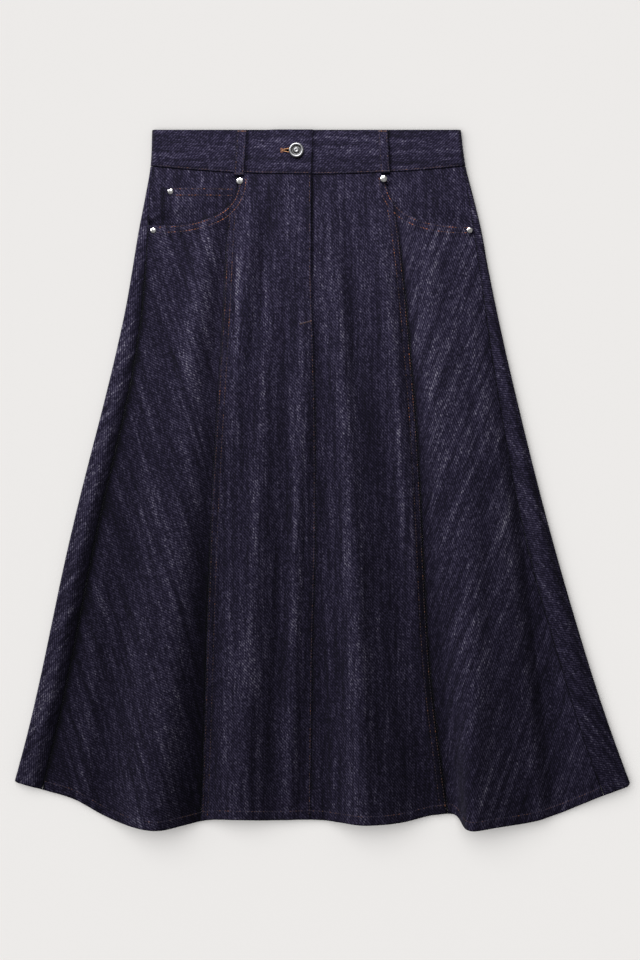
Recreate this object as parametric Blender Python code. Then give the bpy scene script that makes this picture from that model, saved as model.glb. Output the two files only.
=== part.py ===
"""A flared denim skirt laid flat with its front up.

Every size in the tables is in millimetres. X runs across the skirt, Y up to the waist and Z up from the
surface that it lies on. A "drop" is a distance down from the waist's top edge, and "left" and "right"
are as seen from above with the waist away from the viewer. Each cloth piece is a wall round a middle
surface, which is worked out from the sections, the loft and the folds below.
"""

import math
from collections import namedtuple

import bmesh
import bpy
import numpy as np
from mathutils import Vector

MM = 0.001

# Cloth
LENGTH = 767.0
CLOTH = 1.2
HEM = 2.4
HEM_DEPTH = 0.016
HEM_STEP = 0.004
SEAM_GAP = 0.3
LAYER_GAP = 0.3

# Waistband and fly
BAND = 2.4
BAND_SIDE = 40.0
BAND_CENTRE = 49.0
BAND_MIDDLE_X = -16.0
BAND_HALF_WIDTH = 172.0
BAND_PROUD = 0.4
LAP_RAMP = 14.0
BAND_UNDERLAP = 38.0
UNDERLAP_END = 36.0
BAND_LAP_LIFT = 2.9
FLY_UNDERLAP = 18.0
FLY_ROOM = 2.0
FLY_END = 208.0
FLY_FADE = 40.0
FLY_LIFT_FOOT = 275.0
BAND_LIFT_FOOT = 92.0
FLY_LIFT_TOP = 3.0
FLY_LIFT_END = 1.7

# Pockets: each mouth is a quarter of a superellipse about a corner at the side of the waist
Scoop = namedtuple("Scoop", "corner_x corner_drop width depth")
SCOOPS = {
    "left": Scoop(-182.0, 49.5, 91.0, 55.5),
    "right": Scoop(161.5, 48.5, -91.0, 57.0),
}
SCOOP_POWER = 2.5
FACING = 1.0
FACING_TUCK = 12.0
FACING_BOTTOM = 119.0
FACING_DEPTH = {"left": 3.2, "right": 1.8}
FACING_SEAM_REACH = 16.0
# The shares of the way to the mouth at which a facing starts and stops sinking, in the open and by the seam
FACING_SINK = ((0.3, 0.7), (0.85, 0.95))
COIN_GAP = 0.6
COIN_LEFT = -172.0
COIN_RIGHT = -92.5
COIN_TOP = 63.5
COIN_BOTTOM = 110.0
COIN = 1.0

# Belt loops
LOOP_WIDTH = 11.0
LOOP = 1.6
LOOP_ARCH = 1.3
Loop = namedtuple("Loop", "top_x bottom_x top_drop bottom_drop")
LOOPS = {
    "left": Loop(-88.0, -91.2, 0.4, 50.2),
    "right": Loop(66.5, 69.2, 0.4, 47.5),
}

# Metal
BUTTON_X = -28.2
BUTTON_DROP = 22.9
BUTTON_RADIUS = 8.3
SHANK_RADIUS = 2.6
ProfilePoint = namedtuple("ProfilePoint", "radius_share height")
BUTTON_PROFILE = [
    ProfilePoint(0.86, 0.0),
    ProfilePoint(1.00, 0.9),
    ProfilePoint(1.00, 1.7),
    ProfilePoint(0.93, 2.4),
    ProfilePoint(0.80, 2.7),
    ProfilePoint(0.68, 2.3),
    ProfilePoint(0.62, 1.5),
    ProfilePoint(0.42, 1.4),
    ProfilePoint(0.36, 2.3),
    ProfilePoint(0.22, 2.9),
    ProfilePoint(0.00, 3.1),
]
BUTTON_SIDES = 28
HOLE_RADIUS = 3.4
HOLE_END_X = -43.5
SLIT = 1.6
EYE_POINTS = 15
CUTTER_HEIGHTS = (3.0, 20.0)
RIVET_GAP = 0.35
RIVET_PROFILE = [
    ProfilePoint(0.00, 0.0),
    ProfilePoint(1.00, 0.0),
    ProfilePoint(1.00, 0.4),
    ProfilePoint(0.75, 0.95),
    ProfilePoint(0.40, 1.2),
    ProfilePoint(0.00, 1.3),
]
RIVET_SIDES = 16
Rivet = namedtuple("Rivet", "name x drop radius rests_on")
RIVETS = [
    Rivet("rivet_left_top", -90.2, 56.0, 3.8, "front"),
    Rivet("rivet_left_side", -185.2, 110.5, 3.1, "front"),
    Rivet("rivet_coin_pocket", -166.3, 68.0, 3.1, "coin"),
    Rivet("rivet_right_top", 67.6, 54.0, 3.8, "front"),
    Rivet("rivet_right_side", 161.8, 110.5, 3.1, "front"),
]

# Where the folded edges, the seams and the valley beside the right edge run, a row for each section
Section = namedtuple(
    "Section",
    "drop left_fold left_seam left_princess centre right_princess right_valley right_seam right_fold",
)
SECTIONS = [
    Section(0, -186.5, -184.3, -92.0, -9.5, 66.0, 150.3, 150.3, 152.5),
    Section(40, -188.4, -186.0, -96.8, -11.3, 71.0, 155.4, 155.4, 157.8),
    Section(75, -194.4, -189.2, -101.3, -11.8, 77.6, 161.3, 161.3, 166.6),
    Section(110, -201.2, -191.2, -104.2, -11.8, 83.6, 166.8, 166.8, 175.0),
    Section(150, -207.8, -193.8, -106.3, -11.6, 88.6, 172.8, 172.8, 182.2),
    Section(190, -214.6, -197.0, -108.2, -10.7, 92.7, 178.8, 178.8, 190.2),
    Section(240, -225.2, -203.6, -111.2, -9.2, 97.2, 185.8, 185.8, 201.0),
    Section(300, -239.6, -214.8, -114.8, -7.5, 102.2, 195.4, 195.4, 215.0),
    Section(360, -255.0, -228.8, -118.6, -6.8, 106.2, 205.4, 205.6, 229.6),
    Section(420, -270.0, -242.8, -121.6, -6.8, 109.4, 217.0, 217.4, 245.0),
    Section(480, -283.8, -255.4, -124.0, -7.6, 112.2, 229.0, 231.6, 261.4),
    Section(540, -296.4, -267.0, -126.0, -9.2, 115.2, 240.0, 248.2, 278.8),
    Section(600, -309.0, -279.0, -127.8, -10.4, 119.6, 247.0, 266.0, 297.2),
    Section(660, -322.8, -291.8, -129.6, -11.1, 126.4, 252.0, 284.4, 317.2),
    Section(715, -337.4, -305.0, -131.4, -11.7, 133.6, 256.0, 303.4, 337.4),
    Section(767, -352.0, -317.6, -133.5, -12.2, 140.2, 258.0, 322.4, 357.2),
]

# How high the front's middle surface lies: in the flat, at the folded edges, and on the roll beside them.
# A roll is as wide as the strip beyond the side seam, but never narrower than ROLL_MIN_WIDTH. The right one
# crests nearer to its folded edge.
ROLL_MIN_WIDTH = 12.0
RIGHT_ROLL_POWER = 0.6
Loft = namedtuple("Loft", "drop lay edge roll")
LOFTS = [
    Loft(0, 5.4, 5.8, 0.0),
    Loft(70, 5.4, 5.9, 0.0),
    Loft(135, 5.3, 6.0, 0.3),
    Loft(200, 3.8, 6.1, 1.4),
    Loft(300, 3.0, 6.4, 3.2),
    Loft(420, 2.9, 7.0, 4.8),
    Loft(540, 2.9, 7.4, 4.8),
    Loft(660, 3.4, 7.4, 3.8),
    Loft(767, 4.6, 7.4, 2.6),
]

# The front hem's outline: it dips at each flute and steps where the right flute stands over its foot
HemPoint = namedtuple("HemPoint", "x drop")
FRONT_HEM = [
    HemPoint(-340, 715.0),
    HemPoint(-305, 725.0),
    HemPoint(-270, 736.0),
    HemPoint(-238, 753.5),
    HemPoint(-212, 762.5),
    HemPoint(-180, 766.8),
    HemPoint(-150, 762.5),
    HemPoint(-123, 757.5),
    HemPoint(-95, 756.3),
    HemPoint(-60, 757.5),
    HemPoint(-8, 757.6),
    HemPoint(50, 761.2),
    HemPoint(90, 759.0),
    HemPoint(125, 752.2),
    HemPoint(146, 752.0),
    HemPoint(166, 764.0),
    HemPoint(182, 767.0),
    HemPoint(207, 763.8),
    HemPoint(256, 752.2),
    HemPoint(305, 732.0),
    HemPoint(340, 719.3),
]
BACK_HEM_SIDE = 714.5
BACK_HEM_CENTRE = 749.0
BACK_PRINCESS = {"left": (-96.0, -132.0), "right": (74.0, 138.0)}

# The largest folds of the front, which open out from their start to the hem. The crest is given where the
# fold starts, at the middle drop and at the hem; the widths reach from the crest to the fold's feet.
MIDDLE_DROP = 420.0
FOLD_EASE = 110.0
FOLD_START_WIDTH = 0.7
Fold = namedtuple(
    "Fold",
    "name start crest_start crest_middle crest_hem left_middle left_hem right_middle right_hem "
    "height_middle height_hem lean",
)
FOLDS = [
    Fold("side_left", 90, -124, -154, -184, 60, 60, 36, 54, 11.0, 25.0, 0.0),
    Fold("centre_left", 130, -64, -73, -92, 44, 42, 50, 70, 6.0, 13.5, 0.0),
    Fold("centre_right", 100, 10, 31, 46, 30, 44, 50, 84, 7.0, 23.0, 0.0),
    Fold("side_right", 110, 128, 166, 188, 56, 44, 44, 50, 10.0, 27.0, 0.75),
    Fold("right_ridge", 130, 160, 202, 236, 28, 34, 18, 24, 6.0, 7.5, 0.0),
]

DENIM = (0.023, 0.021, 0.038)

# Grid of each wall: rows down a panel, with closer ones beside a pocket's mouth. A back side gore and half
# of the waistband's back take up two shares of their columns: the first up to the folded edge, the second
# up to the back.
ROWS = 24
MOUTH_ROWS = 5
MOUTH_SHARE = 0.05
BACK_SHARES = (0.3, 0.7)
BAND_SHARES = (0.15, 0.62)
FRONT_SHARE_LEAST = 0.6

# Where the search for a panel's top edge starts, and its steps
SEARCH_DROP = 60.0
SEARCH_STEPS = 6


def smooth(rows, column, at):
    """A table's column at the given places, on a smooth curve through its rows."""
    places = np.array([row[0] for row in rows], float)
    values = np.array([getattr(row, column) for row in rows], float)
    slopes = np.gradient(values, places)
    i = np.clip(np.searchsorted(places, at) - 1, 0, len(places) - 2)
    step = places[i + 1] - places[i]
    t = np.clip((at - places[i]) / step, 0, 1)
    start = (1 + 2 * t) * (1 - t) ** 2 * values[i] + t * (1 - t) ** 2 * step * slopes[i]
    end = t**2 * (3 - 2 * t) * values[i + 1] - t**2 * (1 - t) * step * slopes[i + 1]
    return start + end


def ease(t):
    """Rises from 0 to 1 with no slope at either end."""
    t = np.clip(t, 0, 1)
    return t * t * (3 - 2 * t)


def constant(value):
    """A function that gives this value everywhere."""
    return lambda places: value + 0 * places


def through(drop, start, first, middle, last):
    """A value that runs from first at start through middle at the middle drop to last at the hem."""
    a = (drop - start) / (MIDDLE_DROP - start)
    b = (drop - MIDDLE_DROP) / (LENGTH - MIDDLE_DROP)
    upper = first + (middle - first) * np.clip(a, 0, 1)
    lower = middle + (last - middle) * np.clip(b, 0, 1)
    return np.where(drop < MIDDLE_DROP, upper, lower)


def fold_rise(fold, x, drop):
    """The height of one fold at a point of the front."""
    crest = through(drop, fold.start, fold.crest_start, fold.crest_middle, fold.crest_hem)
    left_start, right_start = fold.left_middle * FOLD_START_WIDTH, fold.right_middle * FOLD_START_WIDTH
    left = through(drop, fold.start, left_start, fold.left_middle, fold.left_hem)
    right = through(drop, fold.start, right_start, fold.right_middle, fold.right_hem)
    height = through(drop, fold.start, 0, fold.height_middle, fold.height_hem)
    height = height * ease((drop - fold.start) / FOLD_EASE)
    away = np.where(x < crest, (crest - x) / left, (x - crest) / right)
    return height * (0.5 + 0.5 * np.cos(math.pi * np.clip(away, 0, 1)))


def roll_radius(drop, half, proud):
    """The radius at which the front's middle surface turns round a folded edge into the back's."""
    return (smooth(LOFTS, "edge", drop) + proud - half) / 2


def front_surface(x, drop, half, proud=0.0):
    """The middle surface of the front, and of the roll at each side, for a wall of this half thickness."""
    lay = smooth(LOFTS, "lay", drop) + proud
    edge = smooth(LOFTS, "edge", drop) + proud
    roll = smooth(LOFTS, "roll", drop)
    radius = roll_radius(drop, half, proud)
    left_fold = smooth(SECTIONS, "left_fold", drop)
    right_fold = smooth(SECTIONS, "right_fold", drop)
    in_left = x - left_fold - half
    in_right = right_fold - half - x
    left_width = np.maximum(smooth(SECTIONS, "left_seam", drop) - left_fold, ROLL_MIN_WIDTH)
    right_width = np.maximum(right_fold - smooth(SECTIONS, "right_valley", drop), ROLL_MIN_WIDTH)
    t_left = np.clip((in_left - radius) / (left_width - radius), 0, 1)
    t_right = np.clip((in_right - radius) / (right_width - radius), 0, 1)
    z = lay + (edge - lay) * (2 - ease(t_left) - ease(t_right))
    z = z + roll * (np.sin(math.pi * t_left) ** 2 + np.sin(math.pi * t_right**RIGHT_ROLL_POWER) ** 2)
    shift = np.zeros_like(z)
    inside = ease(t_left) * ease(t_right)
    for fold in FOLDS:
        rise = fold_rise(fold, x, drop) * inside
        z = z + rise
        shift = shift - fold.lean * rise * ease((drop - MIDDLE_DROP) / (LENGTH - MIDDLE_DROP))
    for inward in (in_left, in_right):
        arc = half + radius + np.sqrt(np.maximum(radius**2 - (radius - inward) ** 2, 0))
        z = np.where(inward < radius, arc, z)
    return np.stack([x + shift, LENGTH / 2 - drop, z], axis=-1)


def band_seam(x):
    """The drop of the seam between the waistband and the panels, deeper towards the centre."""
    across = (x - BAND_MIDDLE_X) / BAND_HALF_WIDTH
    return BAND_SIDE + (BAND_CENTRE - BAND_SIDE) * (1 - np.clip(across**2, 0, 1))


def front_hem(x):
    return smooth(FRONT_HEM, "drop", x)


def back_hem(x):
    reach = SECTIONS[-2].right_fold
    return BACK_HEM_SIDE + (BACK_HEM_CENTRE - BACK_HEM_SIDE) * (1 - np.clip((x / reach) ** 2, 0, 1))


def scoop_drop(side, x):
    """The drop of a pocket's mouth at x."""
    scoop = SCOOPS[side]
    across = np.clip((x - scoop.corner_x) / scoop.width, 0, 1)
    return scoop.corner_drop + scoop.depth * (1 - across**SCOOP_POWER) ** (1 / SCOOP_POWER)


def scoop_x(side, drop):
    """Where a pocket's mouth is at a drop."""
    scoop = SCOOPS[side]
    down = np.clip((drop - scoop.corner_drop) / scoop.depth, 0, 1)
    return scoop.corner_x + scoop.width * (1 - down**SCOOP_POWER) ** (1 / SCOOP_POWER)


def scoop_share(side, x, drop):
    """0 at the corner of a pocket's mouth, 1 on its edge and more past it."""
    scoop = SCOOPS[side]
    across = np.maximum((x - scoop.corner_x) / scoop.width, 0)
    down = np.maximum((drop - scoop.corner_drop) / scoop.depth, 0)
    return across**SCOOP_POWER + down**SCOOP_POWER


def half_cloth(v):
    """Half the wall's thickness at a share v of the way down: the hem is turned up."""
    turned_up = ease((v - 1 + HEM_DEPTH + HEM_STEP) / HEM_STEP)
    return (CLOTH + (HEM - CLOTH) * turned_up) / 2


def fly_lift(x, drop):
    """How far the left front stands up over the fly's underlap, and at the waist under the lapped band."""
    inset = smooth(SECTIONS, "centre", drop) - x
    over_fly = ease((FLY_UNDERLAP + FLY_ROOM + LAP_RAMP - inset) / LAP_RAMP)
    lift = FLY_LIFT_TOP + (FLY_LIFT_END - FLY_LIFT_TOP) * np.clip(drop / FLY_END, 0, 1)
    over_fly = over_fly * lift * ease((FLY_LIFT_FOOT - drop) / FLY_FADE)
    under_band = band_lap_lift(x, drop) * ease((BAND_LIFT_FOOT - drop) / FLY_FADE)
    return np.maximum(over_fly, under_band)


def band_lap_lift(x, drop):
    """How far the waistband's left end stands up over the underlap that carries the button."""
    inset = smooth(SECTIONS, "centre", drop) - x
    return BAND_LAP_LIFT * ease((BAND_UNDERLAP + LAP_RAMP - inset) / LAP_RAMP)


def between(a, v, left, right, top, bottom):
    """x and drop of a point a across and v down a panel, given its edges as functions."""
    def at(drop):
        return left(drop) + (right(drop) - left(drop)) * a

    high = np.full_like(a, SEARCH_DROP)
    low = np.full_like(a, LENGTH)
    for _ in range(SEARCH_STEPS):
        high = top(at(high))
        low = bottom(at(low))
    drop = high + (low - high) * v
    return at(drop), drop


def section_line(column, gap):
    return lambda drop: smooth(SECTIONS, column, drop) + gap


def fly_edge(drop):
    """The left edge of the right front: it runs under the left one as far as the fly goes."""
    under = FLY_UNDERLAP * ease((FLY_END - drop) / FLY_FADE)
    return smooth(SECTIONS, "centre", drop) + SEAM_GAP / 2 - under


def front_side(side):
    """The middle surface of a front side gore, whose top edge is the pocket's mouth."""
    half_gap = SEAM_GAP / 2
    if side == "left":
        edges = (section_line("left_seam", half_gap), section_line("left_princess", -half_gap))
    else:
        edges = (section_line("right_princess", half_gap), section_line("right_seam", -half_gap))

    def surface(a, v):
        x, drop = between(a, v, *edges, lambda x: scoop_drop(side, x), front_hem)
        return front_surface(x, drop, half_cloth(v))

    return surface


def front_centre(side):
    """The middle surface of a front centre gore. Its outer edge is the pocket's mouth, then the seam."""
    half_gap = SEAM_GAP / 2

    def outer(drop):
        if side == "left":
            return np.maximum(smooth(SECTIONS, "left_princess", drop), scoop_x(side, drop)) + half_gap
        return np.minimum(smooth(SECTIONS, "right_princess", drop), scoop_x(side, drop)) - half_gap

    def surface(a, v):
        if side == "left":
            edges = (outer, section_line("centre", -half_gap))
        else:
            edges = (fly_edge, outer)
        x, drop = between(a, v, *edges, lambda x: band_seam(x) + half_gap, front_hem)
        point = front_surface(x, drop, half_cloth(v))
        if side == "left":
            point[..., 2] += fly_lift(x, drop)
        return point

    return surface


def wrapped(side, a, seam_x, drop, half, proud, end_x, share):
    """A section line from the side seam on the front, round the folded edge and along the back to end_x.

    It gives x, z, whether the point is still on the front, and how much of the half turn is done. Up to
    share[0] the line is on the front, and from there to share[1] it goes round the edge.
    """
    sign = 1 if side == "left" else -1
    fold = smooth(SECTIONS, side + "_fold", drop) * sign
    radius = roll_radius(drop, half, proud)
    middle = fold + half + radius
    on_front = seam_x * sign - middle
    flat = np.maximum(on_front, 0)
    turn = np.arcsin(np.clip(-on_front / radius, 0, 1))
    total = flat + radius * (math.pi - turn)
    first = np.maximum(flat, share[0] / share[1] * total * FRONT_SHARE_LEAST)
    along = np.where(
        a < share[0],
        first * a / share[0],
        first + (total - first) * (a - share[0]) / (share[1] - share[0]),
    )
    angle = np.clip(turn + (along - flat) / radius, 0, math.pi)
    x_front = middle + flat - along
    x_arc = middle - radius * np.sin(angle)
    z_arc = half + radius + radius * np.cos(angle)
    back = (a - share[1]) / (1 - share[1])
    x_back = middle + (end_x * sign - middle) * back
    on_flat = (along < flat) & (a < share[1])
    x = np.where(a > share[1], x_back, np.where(on_flat, x_front, x_arc))
    z = np.where(a > share[1], half, z_arc)
    return x * sign, z, on_flat, np.where(a > share[1], 1.0, angle / math.pi)


def back_side(side):
    """The middle surface of a back side gore, from the side seam round the edge to the back seam."""
    half_gap = SEAM_GAP / 2
    sign = 1 if side == "left" else -1
    top_x, hem_x = BACK_PRINCESS[side]

    def surface(a, v):
        half = half_cloth(v)
        high = np.full_like(a, SEARCH_DROP)
        low = np.full_like(a, LENGTH)
        for _ in range(SEARCH_STEPS):
            ends = []
            for drop, front_end, back_end, end in (
                (high, band_seam, band_seam, top_x),
                (low, front_hem, back_hem, hem_x),
            ):
                seam = smooth(SECTIONS, side + "_seam", drop) - sign * half_gap
                x, _, _, round_share = wrapped(side, a, seam, drop, half, 0.0, end, BACK_SHARES)
                ends.append(front_end(x) + (back_end(x) - front_end(x)) * round_share)
            high = ends[0] + half_gap
            low = ends[1]
        drop = high + (low - high) * v
        seam = smooth(SECTIONS, side + "_seam", drop) - sign * half_gap
        end = top_x + (hem_x - top_x) * v
        x, z, on_flat, _ = wrapped(side, a, seam, drop, half, 0.0, end, BACK_SHARES)
        front = front_surface(x, drop, half)
        round_edge = np.stack([x, LENGTH / 2 - drop, z], axis=-1)
        return np.where(on_flat[..., None], front, round_edge)

    return surface


def back_centre(a, v):
    """The middle surface of the back centre gore, flat on the ground."""
    left = BACK_PRINCESS["left"][0] + (BACK_PRINCESS["left"][1] - BACK_PRINCESS["left"][0]) * v
    right = BACK_PRINCESS["right"][0] + (BACK_PRINCESS["right"][1] - BACK_PRINCESS["right"][0]) * v
    left = left + SEAM_GAP
    right = right - SEAM_GAP
    x = left + (right - left) * a
    high = band_seam(x) + SEAM_GAP / 2
    drop = high + (back_hem(x) - high) * v
    return np.stack([x, LENGTH / 2 - drop, half_cloth(v) + 0 * x], axis=-1)


def band_front_surface(x, drop, lapped):
    """The middle surface of the waistband's front, raised where it laps over the underlap."""
    point = front_surface(x, drop, BAND / 2, BAND_PROUD)
    if lapped:
        point[..., 2] += band_lap_lift(x, drop)
    return point


def band_front(side):
    half_gap = SEAM_GAP / 2
    if side == "left":
        edges = (section_line("left_seam", half_gap), section_line("centre", -half_gap))
    else:
        edges = (section_line("centre", -UNDERLAP_END), section_line("right_seam", -half_gap))

    def surface(a, v):
        x, drop = between(a, v, *edges, constant(0.0), lambda x: band_seam(x) - half_gap)
        return band_front_surface(x, drop, side == "left")

    return surface


def band_back(a, v):
    """The middle surface of the waistband's back, from one side seam round both edges to the other."""
    half = BAND / 2
    b = np.minimum(a, 1 - a) * 2
    high = 0 * a
    low = np.full_like(a, BAND_SIDE)
    for _ in range(SEARCH_STEPS):
        drop = high + (low - high) * v
        sides = []
        for side, sign in (("left", 1), ("right", -1)):
            seam = smooth(SECTIONS, side + "_seam", drop) - sign * SEAM_GAP / 2
            sides.append(wrapped(side, b, seam, drop, half, BAND_PROUD, BAND_MIDDLE_X, BAND_SHARES))
        x = np.where(a <= 0.5, sides[0][0], sides[1][0])
        z = np.where(a <= 0.5, sides[0][1], sides[1][1])
        low = band_seam(x) - SEAM_GAP / 2
    drop = high + (low - high) * v
    return np.stack([x, LENGTH / 2 - drop, z], axis=-1)


def facing_surface(side, x, drop):
    """The pocket facing's middle surface: level with the front at its seams, below it past the mouth.

    It sinks along the way to the mouth's edge, and only just before the edge beside the side seam.
    """
    point = front_surface(x, drop, CLOTH / 2)
    by_seam = ease(1 - np.abs(x - smooth(SECTIONS, side + "_seam", drop)) / FACING_SEAM_REACH)
    start, end = (open_share + (seam_share - open_share) * by_seam for open_share, seam_share in FACING_SINK)
    point[..., 2] -= FACING_DEPTH[side] * ease((scoop_share(side, x, drop) - start) / (end - start))
    return point


def facing(side):
    half_gap = SEAM_GAP / 2
    end = SCOOPS[side].corner_x + SCOOPS[side].width
    if side == "left":
        edges = (section_line("left_seam", half_gap), constant(end + FACING_TUCK))
    else:
        edges = (constant(end - FACING_TUCK), section_line("right_seam", -half_gap))

    def surface(a, v):
        x, drop = between(a, v, *edges, lambda x: band_seam(x) + half_gap, constant(FACING_BOTTOM))
        return facing_surface(side, x, drop)

    return surface


def coin_surface(x, drop):
    point = facing_surface("left", x, drop)
    point[..., 2] += FACING / 2 + COIN_GAP + COIN / 2
    return point


def coin_pocket(a, v):
    x = COIN_LEFT + (COIN_RIGHT - COIN_LEFT) * a
    drop = COIN_TOP + (COIN_BOTTOM - COIN_TOP) * v
    return coin_surface(x, drop)


def belt_loop(side):
    """The middle surface of a belt loop: an arched strip over the waistband, sewn down at both ends."""
    loop = LOOPS[side]

    def surface(a, v):
        x = loop.top_x + (loop.bottom_x - loop.top_x) * v + LOOP_WIDTH * (a - 0.5)
        drop = loop.top_drop + (loop.bottom_drop - loop.top_drop) * v
        point = band_front_surface(x, np.minimum(drop, BAND_SIDE), False)
        point[..., 1] = LENGTH / 2 - drop
        point[..., 2] += (BAND + LOOP) / 2 + LAYER_GAP + LOOP_ARCH * np.sin(math.pi * v) ** 2
        return point

    return surface


def normals(surface, a, v):
    """Unit normals of a surface at the given places."""
    step = 1e-4
    along_a = surface(np.minimum(a + step, 1), v) - surface(np.maximum(a - step, 0), v)
    along_v = surface(a, np.minimum(v + step, 1)) - surface(a, np.maximum(v - step, 0))
    across = np.cross(along_v, along_a)
    return across / np.linalg.norm(across, axis=-1, keepdims=True)


def wall(name, material, surface, columns, rows, half_at):
    """One closed piece of cloth: a grid on each side of its middle surface, joined round the rim."""
    a, v = np.meshgrid(np.array(columns, float), np.array(rows, float), indexing="ij")
    middle = surface(a, v)
    out = normals(surface, a, v) * half_at(v)[..., None]
    shape = bmesh.new()
    outer, inner = (
        [[shape.verts.new(point * MM) for point in line] for line in points]
        for points in (middle + out, middle - out)
    )
    last_a, last_v = len(columns) - 1, len(rows) - 1
    for i in range(last_a):
        for j in range(last_v):
            shape.faces.new((outer[i][j], outer[i][j + 1], outer[i + 1][j + 1], outer[i + 1][j]))
            shape.faces.new((inner[i][j], inner[i + 1][j], inner[i + 1][j + 1], inner[i][j + 1]))
    rim = [(i, 0) for i in range(last_a)] + [(last_a, j) for j in range(last_v)]
    rim += [(i, last_v) for i in range(last_a, 0, -1)] + [(0, j) for j in range(last_v, 0, -1)]
    for (i, j), (k, m) in zip(rim, rim[1:] + rim[:1]):
        shape.faces.new((outer[i][j], outer[k][m], inner[k][m], inner[i][j]))
    return finished(name, shape, material)


def finished(name, shape, material):
    """Turns a bmesh into a named object with its faces pointing out."""
    bmesh.ops.recalc_face_normals(shape, faces=shape.faces)
    mesh = bpy.data.meshes.new(name)
    shape.to_mesh(mesh)
    shape.free()
    mesh.shade_smooth()
    mesh.set_sharp_from_angle(angle=math.radians(40))
    piece = bpy.data.objects.new(name, mesh)
    piece.data.materials.append(material)
    bpy.context.scene.collection.objects.link(piece)
    return piece


def turned(name, material, profile, segments):
    """A solid of revolution about Z from (radius, height) points that start and end on the axis."""
    shape = bmesh.new()
    points = [shape.verts.new((radius * MM, 0, height * MM)) for radius, height in profile]
    lines = [shape.edges.new(pair) for pair in zip(points, points[1:])]
    bmesh.ops.spin(
        shape, geom=points + lines, axis=(0, 0, 1), cent=(0, 0, 0), steps=segments, angle=2 * math.pi
    )
    bmesh.ops.remove_doubles(shape, verts=shape.verts, dist=0.01 * MM)
    return finished(name, shape, material)


def on_cloth(surface_at, x, drop, above):
    """The point this far above a surface at x and drop, and the surface's normal there."""
    step = 0.5
    here, right, down = (
        surface_at(np.array([x + dx]), np.array([drop + dd]))[0] for dx, dd in ((0, 0), (step, 0), (0, step))
    )
    normal = Vector(np.cross(down - here, right - here)).normalized()
    return (Vector(here) + normal * above) * MM, normal


def make_button(metal):
    """A jeans button: a rolled ring round a sunk floor with a domed nub, on a shank through the hole."""
    x, drop = np.array([BUTTON_X]), np.array([BUTTON_DROP])
    foot = band_front_surface(x, drop, False)[0, 2] + BAND / 2 + LAYER_GAP
    seat = band_front_surface(x, drop, True)[0, 2] + BAND / 2 + LAYER_GAP
    profile = [(0, foot), (SHANK_RADIUS, foot), (SHANK_RADIUS, seat)]
    profile += [(BUTTON_RADIUS * point.radius_share, seat + point.height) for point in BUTTON_PROFILE]
    button = turned("button", metal, profile, BUTTON_SIDES)
    button.location = (BUTTON_X * MM, (LENGTH / 2 - BUTTON_DROP) * MM, 0)


def make_rivet(rivet, metal):
    """A low domed rivet head that sits on the cloth."""
    surface_at = coin_surface if rivet.rests_on == "coin" else rivet_front
    half = (COIN if rivet.rests_on == "coin" else CLOTH) / 2
    profile = [(rivet.radius * point.radius_share, point.height) for point in RIVET_PROFILE]
    head = turned(rivet.name, metal, profile, RIVET_SIDES)
    head.location, normal = on_cloth(surface_at, rivet.x, rivet.drop, half + RIVET_GAP)
    head.rotation_mode = "QUATERNION"
    head.rotation_quaternion = normal.to_track_quat("Z", "Y")


def rivet_front(x, drop):
    return front_surface(x, drop, CLOTH / 2)


def keyhole_cutter():
    """A round eye for the shank and a slit that runs from it towards the left."""
    eye = Vector((BUTTON_X, LENGTH / 2 - BUTTON_DROP, 0))
    meet = math.asin(SLIT / 2 / HOLE_RADIUS)
    outline = [
        (eye.x + HOLE_RADIUS * math.cos(angle), eye.y + HOLE_RADIUS * math.sin(angle))
        for angle in np.linspace(math.pi + meet, 3 * math.pi - meet, EYE_POINTS)
    ]
    outline += [(HOLE_END_X, eye.y + SLIT / 2), (HOLE_END_X, eye.y - SLIT / 2)]
    shape = bmesh.new()
    low, high = (
        [shape.verts.new((x * MM, y * MM, z * MM)) for x, y in outline] for z in CUTTER_HEIGHTS
    )
    shape.faces.new(high)
    shape.faces.new(low[::-1])
    for i in range(len(outline)):
        k = (i + 1) % len(outline)
        shape.faces.new((low[i], low[k], high[k], high[i]))
    bmesh.ops.recalc_face_normals(shape, faces=shape.faces)
    mesh = bpy.data.meshes.new("buttonhole_cutter")
    shape.to_mesh(mesh)
    shape.free()
    cutter = bpy.data.objects.new("buttonhole_cutter", mesh)
    cutter.hide_render = True
    cutter.display_type = "WIRE"
    bpy.context.scene.collection.objects.link(cutter)
    return cutter


def material(name, colour, roughness, metallic):
    made = bpy.data.materials.new(name)
    made.use_nodes = True
    shader = made.node_tree.nodes["Principled BSDF"]
    shader.inputs["Base Color"].default_value = (*colour, 1)
    shader.inputs["Roughness"].default_value = roughness
    shader.inputs["Metallic"].default_value = metallic
    return made


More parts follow.
